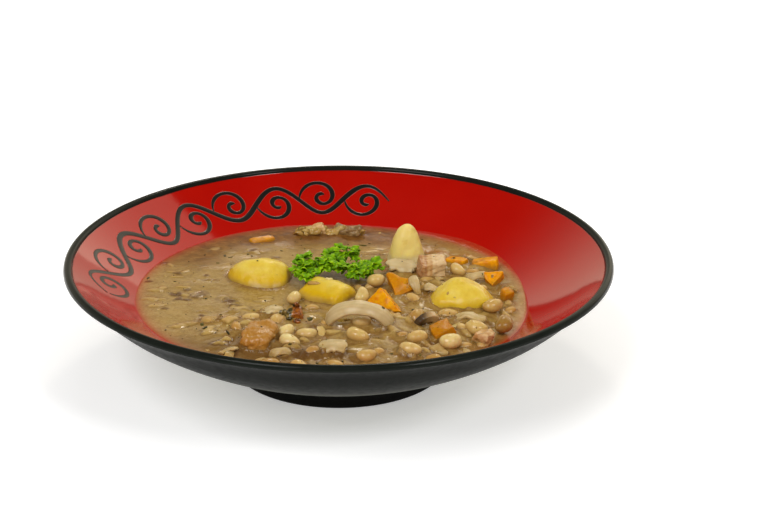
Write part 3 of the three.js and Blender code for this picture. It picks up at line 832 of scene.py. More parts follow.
def blurred(grid, passes):
    """A square grid of numbers, each pass replacing every one by the mean of it and its neighbours."""
    for _ in range(passes):
        wide = np.pad(grid, 1, mode="edge")
        grid = (wide[:-2, 1:-1] + wide[2:, 1:-1] + wide[1:-1, :-2] + wide[1:-1, 2:] + grid) / 5
    return grid


def film_reach(angle):
    """How far from the bowl's middle the broth reaches, by direction."""
    far_right = 3.1 * np.exp(-(((angle - 0.73) / 0.45) ** 2))
    right = 2.4 * np.exp(-(((angle + 0.05) / 0.3) ** 2))
    ring = np.stack([np.cos(angle), np.sin(angle), np.zeros_like(angle)], axis=-1)
    uneven = 0.5 * noise(ring, 0.35, 41, 2)
    return STEW_RADIUS - 0.75 * STEW_SHIFT * np.cos(angle) + (1.5 + far_right - right) + uneven


def disc_grid(count):
    """A square grid of points pressed into the unit disc, as x and y."""
    line = np.linspace(-1, 1, count)
    a, b = np.meshgrid(line, line, indexing="xy")
    reach = np.maximum(np.abs(a), np.abs(b))
    length = np.hypot(a, b)
    scale = np.where(length > 0, reach / np.maximum(length, 1e-9), 0.0)
    return (a * scale).ravel(), (b * scale).ravel()


def stew_top(solid_things):
    """The points of the broth's surface and of its film up the wall, and their numbers for the material."""
    disc_x, disc_y = disc_grid(SURFACE_GRID)
    angle = np.arctan2(disc_y, disc_x)
    share = np.hypot(disc_x, disc_y)
    reach = film_reach(angle)
    radius = share * reach
    x, y = radius * np.cos(angle), radius * np.sin(angle)
    wall = wall_height(radius)
    right_side = np.clip(np.cos(angle + 0.25), 0, 1)
    edge_share = smoothstep(share, 0.9, 1.0)

    rise, tone = sunk_relief(x, y)
    # painted shade: the front of the broth is darkened, most of all towards the left
    tone = tone - (0.28 + 0.3 * smoothstep(-x, 5, 35)) * smoothstep(-y, 40, 68)
    level = surface_height(x, y) + rise
    film = (0.16 + 0.5 * right_side) * np.sqrt(np.clip(FILM_END - share, 0, 1) / 0.1)
    film_top = wall + np.clip(film, 0.03, 0.7)
    meniscus = 0.3 * np.exp(-np.abs(level - film_top) / 0.8) * (1 - smoothstep(share, 0.95, FILM_END))
    z = np.maximum(level, film_top) + meniscus
    z = np.where(share > FILM_END, wall - 15 * (share - FILM_END), z)
    near = nearest_distances(np.stack([x, y, z], axis=-1), solid_things)
    heaped = heap_share(x, y) * (1 - edge_share)
    z = z + 0.7 * np.exp(-near / 0.8) + 0.8 * heaped * np.exp(-((near / 2.3) ** 2))
    points = np.stack([x, y, z], axis=-1)

    cover = 1 - np.exp(-np.clip(z - wall, 0, None) / 1.4)
    wander = noise(points, 9, 50, 2)
    clear = smoothstep(y + 4 * wander, 56, 78) * (1 - 0.6 * smoothstep(x, 20, 60))
    around = np.degrees(angle)
    band = 1 - smoothstep(reach - radius + 5 * wander, 14, 38)
    band = band * smoothstep(around, 45, 80) * (1 - smoothstep(around, 146, 168))
    height = z.reshape(SURFACE_GRID, SURFACE_GRID)
    values = {
        "tone": tone,
        # the term from near is painted shade: browner, darker broth round the foot of each piece standing in
        # it
        "clear": np.clip(np.maximum(clear, 0.85 * band) + 0.85 * np.exp(-near / 1.4), 0, 1),
        "cover": np.maximum(cover, 0.25 * right_side * edge_share),
        # how hollow the surface is, for painted shade in hollows and painted light on crests
        "hollow_shade_crest_light": (blurred(height, 20) - height).ravel() / 0.45 * (1 - edge_share),
        "dull": np.maximum(clear, band),
        "contact": np.exp(-near / 1.4),
    }
    return points, values


def make_stew(material, solid_things):
    """The broth: its surface with every ripple and lump, up the wall as a film, and closed below."""
    points, values = stew_top(solid_things)
    faces = grid_faces(SURFACE_GRID, SURFACE_GRID).tolist()
    above = border = border_loop(SURFACE_GRID, SURFACE_GRID)
    angle = np.arctan2(points[border, 1], points[border, 0])
    radius = np.hypot(points[border, 0], points[border, 1])
    for step in STEPS_BELOW:
        inner = radius - step
        ring = np.stack([inner * np.cos(angle), inner * np.sin(angle), wall_height(inner) - 0.5], axis=-1)
        below = list(range(len(points), len(points) + len(border)))
        points = np.concatenate([points, ring])
        for k, corner in enumerate(below):
            after = (k + 1) % len(border)
            faces.append([above[k], corner, below[after], above[after]])
        above = below
    faces.append(above[::-1])
    added = np.ones(len(STEPS_BELOW) * len(border))
    values = {key: np.concatenate([numbers, added]) for key, numbers in values.items()}
    piece = new_piece("stew_broth", points, faces, material, values)
    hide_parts("stew")
    return piece


# ================================================================ potatoes
def chunk(half_sizes, cuts, sharpness, rings=150, columns=220):
    """A boiled chunk: an ellipsoid flattened by cuts, each a direction and its distance."""
    polar = np.linspace(0, math.pi, rings)[:, None]
    around = np.linspace(0, 2 * math.pi, columns, endpoint=False)[None, :]
    ways = np.stack(
        [np.sin(polar) * np.cos(around), np.sin(polar) * np.sin(around), np.cos(polar) + 0 * around], axis=-1
    ).reshape(-1, 3)
    total = np.linalg.norm(ways / np.array(half_sizes), axis=1) ** sharpness
    for x, y, z, distance in cuts:
        normal = np.array([x, y, z]) / math.sqrt(x * x + y * y + z * z)
        total += (np.maximum(0, ways @ normal) / distance) ** sharpness
    points = ways * (total ** (-1 / sharpness))[:, None]
    return points, [list(face)[::-1] for face in grid_faces(rings, columns, closed=True)]


POTATOES = {
    "potato_left": dict(
        half=(18.5, 14.5, 12.5), cuts=[(0.25, -0.62, 0.74, 11.2), (0, 0.4, 0.9, 11.4), (1, 0.1, 0.1, 16.5)],
        sharpness=5, place=(-39.5, 18.6, 37.4), turn=(0, 0, -22), taper=0.16, gold_and_shade=0.85,
    ),
    "potato_middle": dict(
        half=(21, 17, 15),
        cuts=[
            (-0.56, -0.83, 0.12, 10.3), (0.82, -0.57, 0.2, 13), (0.56, 0.83, 0.12, 10),
            (-0.82, 0.57, 0.12, 13), (-0.32, -0.25, 0.92, 7.8), (0.3, 0.3, 0.9, 10),
        ],
        sharpness=8, place=(-6.8, -3.6, 36.2), turn=(0, 0, 0), gold_and_shade=1.0,
    ),
    "potato_back": dict(
        half=(9.6, 9.8, 24), cuts=[(0.1, -1, 0.18, 9), (0, 0, -1, 16)], sharpness=7,
        place=(34.3, 37.5, 35.4), turn=(0, 2, 0), gold_and_shade=0.0, milky=1.0,
    ),
    "potato_right": dict(
        half=(18.5, 12, 15),
        cuts=[
            (-0.1, -0.55, 0.85, 10.2), (0.62, 0.1, 0.78, 11.5), (-0.72, 0, 0.7, 11.4), (0, 1, 0.3, 9.5),
            (0, 0, 1, 11.6),
        ],
        sharpness=9, place=(59.4, -13.4, 38.6), turn=(0, 0, -6), gold_and_shade=0.75,
    ),
}


def make_potato(name, shape, material, seed):
    """A boiled potato in place of its node: its chunk rebuilt in even faces, its surface uneven."""
    points, faces = chunk(shape["half"], shape["cuts"], shape["sharpness"])
    swell = 1 + shape.get("taper", 0) * points[:, :1] / shape["half"][0]
    points = points * np.concatenate([np.ones_like(swell), swell, swell], axis=1)
    points = moved(points, place_matrix(shape["place"], shape["turn"]))
    mesh = bpy.data.meshes.new(name + "_shape")
    mesh.from_pydata((points * MM).tolist(), [], faces)
    mesh = remeshed(mesh, 0.6, 2)
    push(mesh, lambda p, n: 0.6 * noise(p, 9, seed, 2) + 0.12 * noise(p, 2.6, seed + 5, 3))
    add_values(mesh, "gold_and_shade", shape["gold_and_shade"])
    add_values(mesh, "milky", shape.get("milky", 0.0))
    piece = dressed(bpy.data.objects.new(name + "_boiled", mesh), material)
    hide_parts(name)
    return piece


# ================================================================ cut vegetables and meat
def softened(node, suffix, material, voxel=0.45, passes=3, amount=None):
    """A node's shape with worn edges and an uneven surface, in its place."""
    mesh = remeshed(bpy.data.objects[node].data.copy(), voxel, passes)
    if amount:
        push(mesh, amount)
    piece = dressed(bpy.data.objects.new(f"{node}_{suffix}", mesh), material)
    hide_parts(node)
    return piece


# How far each kind of skin stands out, from the points and the normals of its piece.
def carrot_skin(points, normals):
    return 0.4 * noise(points, 5, 61, 2) + 0.08 * noise(points, 1.4, 62, 2)


def cooked_carrot_skin(points, normals):
    return 1.1 * noise(points, 6.5, 65, 1) + carrot_skin(points, normals)


def ham_skin(points, normals):
    return 1.0 * noise(points, 5.4, 71, 3) + 0.3 * noise(points * (0.5, 1.6, 1.6), 1.8, 72, 2)


def lumpy_skin(points, normals):
    bulge = 2.4 * np.clip(-0.9 * normals[:, 1] - 0.35 * normals[:, 2], 0, 1)
    return 0.6 + bulge + 1.2 * noise(points, 6.4, 73, 2) + 0.6 * noise(points * (1, 0.6, 1.6), 2.2, 74, 2)


def torn_skin(points, normals):
    return 1.3 * noise(points, 4.6, 75, 2) + 0.7 * noise(points * (0.5, 1.4, 1.4), 2.0, 76, 3) - 0.3


def tomato_skin(points, normals):
    return 0.8 + 0.9 * noise(points, 3.0, 91, 3)


# Each piece of carrot, how far the broth veils it, and its skin.
CARROTS = {
    "wedge": (0.0, carrot_skin), "middle": (0.5, cooked_carrot_skin), "right": (0.0, cooked_carrot_skin),
    "front": (0.75, cooked_carrot_skin), "edge": (0.6, carrot_skin), "back_left": (0.0, carrot_skin),
    "back_right": (0.25, carrot_skin), "far_right": (0.1, carrot_skin),
}
# Each piece of ham: how far the broth veils it or, below 0, how golden it is, how worn it is, and its skin.
HAM = {
    "cube": (-0.35, 9, ham_skin), "front": (-0.95, 18, lumpy_skin),
    "back_left": (0.9, 12, torn_skin), "edge": (0.2, 9, torn_skin),
}


def make_carrots(material):
    pieces = []
    for name, (veil, skin) in CARROTS.items():
        piece = softened("carrot_" + name, "cut", material, passes=9, amount=skin)
        add_values(piece.data, "veil", veil)
        pieces.append(piece)
    return pieces


def make_ham(material):
    pieces = []
    for name, (veil, passes, skin) in HAM.items():
        piece = softened("ham_" + name, "diced", material, passes=passes, amount=skin)
        add_values(piece.data, "veil", veil)
        across = read_points(piece.data)[:, 0]
        # above 0, pale fat stripes towards the right; below 0, painted shade over the cube's left side
        fat_stripes_and_left_shade = 0.3 * (across - 45.5) + 0.5 * np.sin(2.4 * across)
        add_values(piece.data, "fat", np.clip(fat_stripes_and_left_shade, -1, 1) if name == "cube" else 0.0)
        pieces.append(piece)
    return pieces


def make_mushrooms(material):
    back = softened("mushroom_back", "cooked", material, passes=5, amount=torn_skin)
    for key in ("gills", "pale"):
        add_values(back.data, key, 0.0)
    slice_piece = softened("mushroom_slice", "cooked", material, voxel=0.35, passes=3)
    mesh = slice_piece.data
    low, high = (np.array(corner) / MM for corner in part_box("mushroom_slice"))
    centre = np.array([(low[0] + high[0]) / 2, (low[1] + high[1]) / 2, low[2]])
    offset = read_points(mesh) - centre
    angle = np.arctan2(offset[:, 2], offset[:, 0])
    reach = np.hypot(offset[:, 0], offset[:, 2] * 1.25) / (0.5 * (high[0] - low[0]))
    comb = 0.5 + 0.5 * np.sin(angle * 44)
    gills = (1 - smoothstep(reach, 0.62, 0.8)) * (0.75 + 0.25 * comb)
    gills = np.maximum(gills, 0.9 * smoothstep(-offset[:, 0], -3, 1))
    add_values(mesh, "gills", gills)
    add_values(mesh, "pale", smoothstep(reach, 0.8, 0.95) * smoothstep(offset[:, 0], -3, 4))
    push(mesh, lambda p, n: -0.35 * comb * (1 - smoothstep(reach, 0.72, 0.86)) + 0.12 * noise(p, 2.4, 81, 2))
    return [back, slice_piece]


def make_tomato(material):
    return softened("tomato_piece", "cooked", material, amount=tomato_skin)


# ================================================================ onion
def grid_normals(grid):
    """Unit normals of a rows × columns × 3 grid of points."""
    normals = np.cross(np.gradient(grid, axis=0), np.gradient(grid, axis=1))
    return normals / np.maximum(np.linalg.norm(normals, axis=-1, keepdims=True), 1e-9)


def sheet_solid(grid, thickness):
    """A closed thin solid round a grid of middle points, thinner towards its border."""
    rows, columns = grid.shape[:2]
    a, b = np.meshgrid(np.linspace(-1, 1, rows), np.linspace(-1, 1, columns), indexing="ij")
    worn = np.clip((1 - np.maximum(np.abs(a), np.abs(b))) / 0.12, 0, 1) ** 0.5
    offset = grid_normals(grid) * (0.5 * thickness * (0.25 + 0.75 * worn))[..., None]
    points = np.concatenate([grid + offset, grid - offset]).reshape(-1, 3)
    faces = grid_faces(rows, columns).tolist()
    count = rows * columns
    back = [[count + corner for corner in face][::-1] for face in faces]
    loop = border_loop(rows, columns)
    pairs = zip(loop, loop[1:] + loop[:1])
    side = [[corner, corner + count, after + count, after] for corner, after in pairs]
    return points, faces + back + side


def onion_arch(radius, thickness, width, degrees, rows=70, columns=26):
    """A strip cut from a layer of onion: part of a hoop, standing up, with its ends down, and its veins."""
    angle = np.radians(90 + np.linspace(-degrees / 2, degrees / 2, rows))[:, None]
    across = np.linspace(-1, 1, columns)[None, :]
    reach = radius - thickness / 2 + 0.18 * width * (1 - across**2)
    y = across * width / 2 + 0.5 * np.sin(3.1 * angle) * across
    grid = np.stack([reach * np.cos(angle), y, reach * np.sin(angle)], axis=-1)
    vein = 0.5 + 0.5 * np.sin(across * 15 + 0.8 * np.sin(2 * angle))
    return *sheet_solid(grid, thickness), np.tile(vein.ravel(), 2)


def onion_piece(length, width, thickness, rows=34, columns=26, seed=0):
    """A scrap of an onion's layer: curled along X, its outline uneven, and its veins."""
    along = np.linspace(-1, 1, rows)[:, None]
    across = np.linspace(-1, 1, columns)[None, :]
    torn = 1 + 0.1 * np.sin(3.7 * along + 2.3 * across + seed)
    torn = torn + 0.06 * np.sin(9.1 * along - 5 * across + 2 * seed)
    x = along * length / 2 * np.sqrt(1 - 0.45 * across**2) * torn
    y = across * width / 2 * np.sqrt(1 - 0.5 * along**2) * torn
    z = 0.5 * thickness - 0.075 * y * y - 0.02 * x * x + 0.05 * length * np.sin(2.2 * along + seed)
    vein = 0.5 + 0.5 * np.sin(across * 9 + 0.7 * along)
    return *sheet_solid(np.stack([x, y, z], axis=-1), min(2.2, thickness * 0.5)), np.tile(vein.ravel(), 2)


# The scraps of onion that the CAD has: their size, their place and their turn.
ONION_PIECES = {
    "onion_front": ((13.4, 10.4, 5.4), (-3, -73.0, 40.2), (10, 0, -14)),
    "onion_left": ((11.6, 8.4, 5.6), (-32.6, -32, 39.4), (0, 0, 10)),
    "onion_right": ((16, 7, 4.4), (62.6, -39.4, 39.2), (0, 0, -8)),
    "onion_back": ((16.6, 8.4, 5.0), (32, 24.2, 40.9), (30, 4, 2)),
}


def make_onions(material):
    """The petal, arched over the heap, and the scraps, each in place of its node."""
    points, faces, vein = onion_arch(15.8, 2.6, 8.4, 168)
    points = moved(points, place_matrix((9.4, -40.5, 36.2), (28, 0, -6)))
    points += 0.35 * noise(points, 6, 101, 2)[:, None] * (0.3, 0.6, 0.6)
    layers = {"onion_petal": (points, faces, {"vein": vein, "milky": 0.3})}
    for index, (name, (size, place, turn)) in enumerate(ONION_PIECES.items()):
        points, faces, vein = onion_piece(*size, seed=index)
        points = moved(points, place_matrix(place, turn))
        points += 0.45 * noise(points, 5, 111 + index, 2)[:, None] * (0.4, 0.4, 1.0)
        layers[name] = (points, faces, {"vein": vein, "milky": 0.35 if name == "onion_back" else 0.0})
    pieces = []
    for name, layer in layers.items():
        piece = new_solids(name + "_layer", [layer], material)
        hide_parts(name)
        pieces.append(piece)
    return pieces


# Thin curls of onion in the heap: their radius and width, where they lie, their turn.
ONION_CURLS = [
    (6.8, 4.0, (38.6, -0.6, 39.2), (76, 0, -70)), (5.4, 4.4, (69.5, 13.0, 38.6), (40, 0, 12)),
    (5.0, 4.0, (-27.0, -75.5, 37.6), (34, 0, 10)), (5.6, 3.6, (47.0, -2.0, 38.0), (50, 0, -30)),
]


def make_onion_curls(material):
    parts = []
    for radius, width, place, turn in ONION_CURLS:
        points, faces, vein = onion_arch(radius, 1.5, width, 190, 40, 14)
        points = moved(points, place_matrix(place, turn))
        points += 0.5 * noise(points, 4, 121, 2)[:, None] * (0.6, 0.6, 0.6)
        parts.append((points, faces, {"vein": vein, "milky": 0.0}))
    return new_solids("onion_curls", parts, material)


# ================================================================ shreds of meat at the back
SHREDS = 36
SHREDS_MIDDLE = (-5.0, 81.0)
SHREDS_REACH = (17.0, 3.2)


def make_shreds(material):
    """Torn shreds that join the ham and the mushroom at the back, half under the broth."""
    picker = random.Random(57)
    parts = []
    for index in range(SHREDS):
        x = SHREDS_MIDDLE[0] + SHREDS_REACH[0] * picker.uniform(-1, 1)
        y = SHREDS_MIDDLE[1] + SHREDS_REACH[1] * picker.uniform(-1, 1)
        length = picker.uniform(4.0, 8.0)
        width, thickness = length * picker.uniform(0.35, 0.6), picker.uniform(1.4, 2.6)
        points, faces = flake(length, width, thickness, 680 + index, 15)
        points += 0.5 * noise(points + 9.0 * index, 2.0, 127, 2)[:, None]
        turn = (picker.uniform(-30, 30), picker.uniform(-25, 25), picker.uniform(-40, 40))
        points = moved(points, place_matrix((x, y, 38.4 + picker.uniform(0, 2.6)), turn))
        values = {"tint": picker.uniform(0, 0.9), "soak": picker.uniform(0.35, 0.8), "scar": 0.0}
        values["low"] = picker.uniform(0, 0.8)
        parts.append((points, faces, values))
    return new_solids("meat_shreds", parts, material)


# ================================================================ beans
BEAN_RINGS = 16
BEAN_SIDES = 22


def bean_shape(length, seed):
    """A cooked white bean along X: an egg with a hollow side at +Y, as in the CAD, with a scar there."""
    picker = random.Random(seed)
    fat = picker.uniform(0.92, 1.1)
    bend = picker.uniform(0.1, 0.24)
    along = np.cos(np.linspace(0, math.pi, BEAN_RINGS))[:, None]
    girth = np.sqrt(np.maximum(0, 1 - along**2)) ** 0.92
    angle = np.linspace(0, 2 * math.pi, BEAN_SIDES, endpoint=False)[None, :]
    half = length / 2
    y = girth * np.cos(angle) * length * 0.34 * fat * (1 - 0.12 * along)
    y = y - bend * half * (1 - along**2) + 0.1 * half
    z = girth * np.sin(angle) * length * 0.31 * fat
    points = np.stack([along * half + 0 * angle, y, z], axis=-1).reshape(-1, 3)
    normals = points / np.maximum(np.linalg.norm(points, axis=1, keepdims=True), 1e-6)
    wrinkle = 0.014 * length * noise(points + 40.0 * seed, length * 0.34, seed % 97, 2)
    points = points + normals * wrinkle[:, None]
    side = (girth * np.cos(angle)).ravel()
    scar = smoothstep(side, 0.9, 1.0) * (1 - smoothstep(np.abs(along + 0 * angle).ravel(), 0.12, 0.3))
    points = points - normals * (0.3 * scar)[:, None]
    faces = grid_faces(BEAN_RINGS, BEAN_SIDES, closed=True).tolist()
    return points, faces, 0.8 * scar


def bean_part(length, matrix, seed, tint):
    """A bean in its place, and how its colour changes: its tint, its scar, the broth on it and painted shade
    low down.
    """
    points, faces, scar = bean_shape(length, seed)
    points = moved(points, matrix)
    level = surface_height(points[:, 0], points[:, 1])
    above = points[:, 2] - level - 0.7 * noise(points, 4.5, 131 + seed % 7, 2)
    # low: how near the broth each point is, for painted shade on the bean's lower sides
    soak, low = 1 - smoothstep(above, 0.2, 2.2), 1 - smoothstep(above, 1.0, 5)
    return points, faces, {"tint": tint, "scar": scar, "soak": soak, "low": low}


# The beans that stand highest, as in the CAD: where, how long, their turn and their tilt.
HIGH_BEANS = [
    (-22.4, -12.8, 40.4, 9, 66, 10), (10.6, -17.4, 43.8, 9.6, 78, 24), (18.4, 6.4, 41.6, 9.6, 14, -8),
    (60.6, 21.8, 41, 9.6, -52, 14), (8.2, -60.6, 41.4, 11.6, -32, 10), (-15.6, -55.6, 39.8, 10.4, 12, 0),
    (-25.2, -54.2, 41, 9.6, 48, 12), (-23.4, -66.2, 40.8, 10.8, -34, 8), (12.2, -80.4, 40.2, 9.8, 18, 10),
    (32.2, -73, 39.8, 10.8, -20, 6), (36.2, -61.4, 40.6, 10.4, 18, -10), (51.6, -65.4, 40.2, 11, 16, 4),
    (64.6, -49.8, 40, 11.4, -24, 10), (77.4, -46.6, 40.8, 11.8, 74, 10), (74.6, -25.4, 41, 11.2, 30, 0),
    (-42.2, -37.6, 39.8, 9.8, 14, 6), (-61.8, -37.6, 37.4, 11.2, -8, 4),
]
HIGH_TINTS = (0.8, 0.75, 0.65, 0.65, 0.65, 0.9, 0.9, 1.0, 0.45, 0.75, 0.6, 0.85, 0.6, 0.0, 0.4, 0.85, 0.7)


def make_high_beans(material):
    pieces = []
    for index, ((x, y, z, length, turn, tilt), tint) in enumerate(zip(HIGH_BEANS, HIGH_TINTS)):
        number = f"{index + 1:02d}"
        matrix = place_matrix((x, y, z), (tilt, tilt / 2, turn))
        part = bean_part(length, matrix, 300 + index, tint)
        piece = new_solids("white_bean_" + number, [part], material)
        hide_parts("bean_" + number)
        pieces.append(piece)
    return pieces


# Beans seen in the photo between the high ones: x, y, length.
SEEN_BEANS = [
    (-13.7, -22.1, 8.0), (15.2, 6.7, 7.4), (8.9, 5.4, 6.8), (44.2, 11.7, 7.5), (68, 22.5, 8.5),
    (10.5, -44.8, 9.5), (17.8, -74.7, 7.0), (57.9, -62.8, 8.0), (66, -61, 8.0), (58.4, -48.0, 7.5),
    (82.9, -13.3, 7.0), (83, -22.0, 7.5), (69.0, -19.5, 7.5), (29.7, -55.1, 6.5), (42.6, -78.9, 9.0),
    (80, -36.4, 7.0), (-48.3, -52.0, 7.5), (-10.7, -50.4, 5.5), (-7.8, -43.6, 6.0),
]


BEAN_TRIES = 3600
BEANS_APART = 0.62  # the least distance of two beans, as a share of their lengths together


def scattered_places(blocked):
    """Where the other beans lie: first those seen, then more, well apart, where the heap is thick."""
    picker = random.Random(4)
    chosen = [(x, y, length) for x, y, _, length, _, _ in HIGH_BEANS] + SEEN_BEANS
    for _ in range(BEAN_TRIES):
        x, y = picker.uniform(-94, 90), picker.uniform(-92, 92)
        length = picker.uniform(8.2, 12.0)
        if math.hypot(x + STEW_SHIFT, y) > STEW_RADIUS - 7:
            continue
        if heap_share(x, y) < picker.uniform(0.5, 1.05):
            continue
        if any(math.hypot(x - a, y - b) < BEANS_APART * (length + other) for a, b, other in chosen):
            continue
        if not blocked(x, y, 0.3 * length):
            chosen.append((x, y, length))
    return chosen[len(HIGH_BEANS):]


def make_small_beans(material, solid_things):
    tree = tree_of(solid_things)

    def blocked(x, y, room):
        return tree.find_nearest(Vector((x, y, STEW_LEVEL + 3)), room)[3] is not None

    picker = random.Random(11)
    parts = []
    for index, (x, y, length) in enumerate(scattered_places(blocked)):
        level = surface_height(np.array([x]), np.array([y]))[0]
        if index < len(SEEN_BEANS):
            lift = picker.uniform(-0.2, 1.0)
        else:
            lift = picker.uniform(-1.5, 0.6) - 1.2 * smoothstep(-x, 20, 60)
        turn = math.radians(picker.uniform(0, 360))
        tilts = math.radians(picker.gauss(0, 16)), math.radians(picker.gauss(0, 14))
        matrix = Matrix.Translation((x, y, level + lift)) @ Euler((*tilts, turn), "XYZ").to_matrix().to_4x4()
        parts.append(bean_part(length, matrix, 700 + index, picker.uniform(0.1, 1.0)))
    return new_solids("white_beans_in_the_heap", parts, material)


# ================================================================ parsley
def leaflet(radius, seed, rows=7, columns=31):
    """A leaf of curly parsley with three toothed lobes, its stalk at the origin and its fan towards +X."""
    picker = random.Random(seed)
    reach = np.linspace(0.05, 1, rows)[:, None]
    angle = np.linspace(-1.35, 1.35, columns)[None, :]
    shift = picker.uniform(0, 6.28)
    lobes = 0.84 + 0.16 * np.abs(np.cos(picker.uniform(2.1, 2.7) * angle)) ** 0.7
    teeth = 0.1 * np.sin(picker.uniform(11, 15) * angle + shift) * reach**2
    length = radius * (lobes * (1 - 0.16 * angle**2) + teeth) * reach
    waves = np.sin(picker.uniform(4.4, 6.4) * angle + shift)
    frill = picker.uniform(0.1, 0.2) * radius * reach**1.4
    z = frill * waves + 0.25 * radius * reach - picker.uniform(0.2, 0.5) * radius * reach**2.4
    grid = np.stack([length * np.cos(angle), length * np.sin(angle), z], axis=-1)
    # lighter towards the leaf's edge, with painted light on the crests of its ruffles and painted shade in
    # their folds
    shade = np.clip(picker.uniform(-0.15, 0.3) + 0.45 * reach + 0.28 * waves * reach, 0, 1)
    return *sheet_solid(grid, 0.36), np.tile(shade.ravel(), 2)


def stalk_part(start, end, radius, seed):
    """A short bent stalk between two points."""
    steps, sides = 8, 8
    start, end = np.array(start, float), np.array(end, float)
    middle = (start + end) / 2 + np.array([0.6 * math.sin(seed), 0.6 * math.cos(seed), 1.2])
    t = np.linspace(0, 1, steps)[:, None]
    spine = (1 - t) ** 2 * start + 2 * t * (1 - t) * middle + t**2 * end
    way = np.gradient(spine, axis=0)
    way /= np.linalg.norm(way, axis=1, keepdims=True)
    side = np.cross(way, (0, 0, 1.0))
    side /= np.maximum(np.linalg.norm(side, axis=1, keepdims=True), 1e-6)
    up = np.cross(side, way)
    around = np.linspace(0, 2 * math.pi, sides, endpoint=False)
    points = (
        spine[:, None, :]
        + radius * np.cos(around)[None, :, None] * side[:, None, :]
        + radius * np.sin(around)[None, :, None] * up[:, None, :]
    ).reshape(-1, 3)
    return points, tube_faces(steps, sides), {"tip_and_crest_light": 0.15}


# The sprig's tufts: where each is, how far its leaflets spread, and how many there are.
TUFTS = [
    (-18.2, 21.5, 45.4, 4.4, 11), (-19, 14, 44.2, 4.6, 12), (-16.8, 8.5, 43.4, 4.2, 11),
    (-11, 15.5, 44.6, 4.4, 10), (-6.5, 18, 44.8, 3.8, 8), (-4.6, 27.5, 45.8, 4.2, 10),
    (0.6, 31.5, 46.6, 4.2, 11), (5, 31, 46.0, 3.6, 9), (-1.5, 19.5, 45.0, 3.8, 8), (3.4, 12, 44.6, 4.2, 10),
    (8.8, 8.5, 43.6, 4.0, 10), (10, 13.5, 44.0, 3.4, 7), (14, 14.5, 44.2, 3.0, 7), (17, 15.6, 44.2, 2.4, 6),
    (-12, 22, 40.6, 4.2, 8), (-3, 27, 41.2, 4.0, 8), (5, 20, 40.4, 4.0, 8), (12, 16.5, 40.4, 3.2, 6),
]
GOLDEN_TURN = 0.382  # the share of a turn from one leaflet to the next


def make_parsley(material):
    """Tufts of leaflets, turned about each tuft's middle and leaning outward, each tuft on its stalk."""
    picker = random.Random(23)
    parts = []
    seed = 0
    for x, y, z, spread, count in TUFTS:
        for k in range(count):
            seed += 1
            way = 2 * math.pi * (k + picker.uniform(-0.4, 0.4)) * GOLDEN_TURN
            share = (k + 0.5) / count
            out = 0.55 * spread * math.sqrt(share)
            lean = math.radians(-30 + 40 * share + picker.uniform(-12, 12))
            height = z + 2.6 * (1 - share) + picker.uniform(-0.7, 0.7)
            place = Matrix.Translation((x + out * math.cos(way), y + out * math.sin(way), height))
            sway = Matrix.Rotation(picker.uniform(-0.4, 0.4), 4, "X")
            matrix = place @ Matrix.Rotation(way, 4, "Z") @ Matrix.Rotation(lean, 4, "Y") @ sway
            points, faces, shade = leaflet(picker.uniform(3.6, 5.4), seed)
            parts.append((moved(points, matrix), faces, {"tip_and_crest_light": shade}))
        parts.append(stalk_part((x * 0.7 - 1, y * 0.6 + 8, 43.0), (x, y, z + 0.6), 0.55, seed))
    piece = new_solids("parsley_sprig", parts, material)
    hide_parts("parsley")


# ================================================================ small things
def flake(length, width, thickness, seed, sides=9):
    """A torn scrap, slightly domed."""
    picker = random.Random(seed)
    rim = []
    for k in range(sides):
        angle = 2 * math.pi * k / sides
        reach = picker.uniform(0.72, 1.1)
        rim.append((reach * length / 2 * math.cos(angle), reach * width / 2 * math.sin(angle), 0))
    rim = np.array(rim)
    half = np.array([0, 0, thickness / 2])
    poles = [[0, 0, thickness * 0.75], [0, 0, -thickness * 0.6]]
    points = np.concatenate([rim * 0.75 + half, rim, rim * 0.75 - half, poles])
    points += 0.2 * thickness * np.array([picker.uniform(-1, 1) for _ in range(points.size)]).reshape(-1, 3)
    faces = grid_faces(3, sides, closed=True).tolist()
    crown, foot = 3 * sides, 3 * sides + 1
    for k in range(sides):
        after = (k + 1) % sides
        faces.append([crown, after, k])
        faces.append([foot, 2 * sides + k, 2 * sides + after])
    return points, faces


FALL_HEIGHT = 80.0
HIGHEST = 46.0
LEAST_UP = 0.35  # the upward part of a normal below which nothing stays on a slope


def lie(hit, normal):
    """The matrix that lays a thing down on a surface."""
    return Matrix.Translation(hit) @ normal.to_track_quat("Z", "Y").to_matrix().to_4x4()


def scatter(name, count, make, material, tree, seed, region=None, lift=0.0, tilt=16, most=9.0):
    """Small things on whatever is highest where each falls, if it is no more than most above the broth."""
    picker = random.Random(seed)
    parts = []
    while len(parts) < count:
        x, y = picker.uniform(-94, 94), picker.uniform(-94, 94)
        if math.hypot(x + STEW_SHIFT, y) > STEW_RADIUS - 5 or (region and not region(x, y, picker)):
            continue
        hit, normal, _, _ = tree.ray_cast(Vector((x, y, FALL_HEIGHT)), Vector((0, 0, -1)))
        if hit is None or normal.z < LEAST_UP or hit.z > HIGHEST or hit.z - STEW_LEVEL - 1.5 > most:
            continue
        points, faces, values = make(picker)
        turn = Matrix.Rotation(picker.uniform(0, 2 * math.pi), 4, "Z")
        sway = Matrix.Rotation(math.radians(picker.gauss(0, tilt)), 4, "X")
        parts.append((moved(points, lie(hit + normal * lift, normal) @ turn @ sway), faces, values))
    return new_solids(name, parts, material)


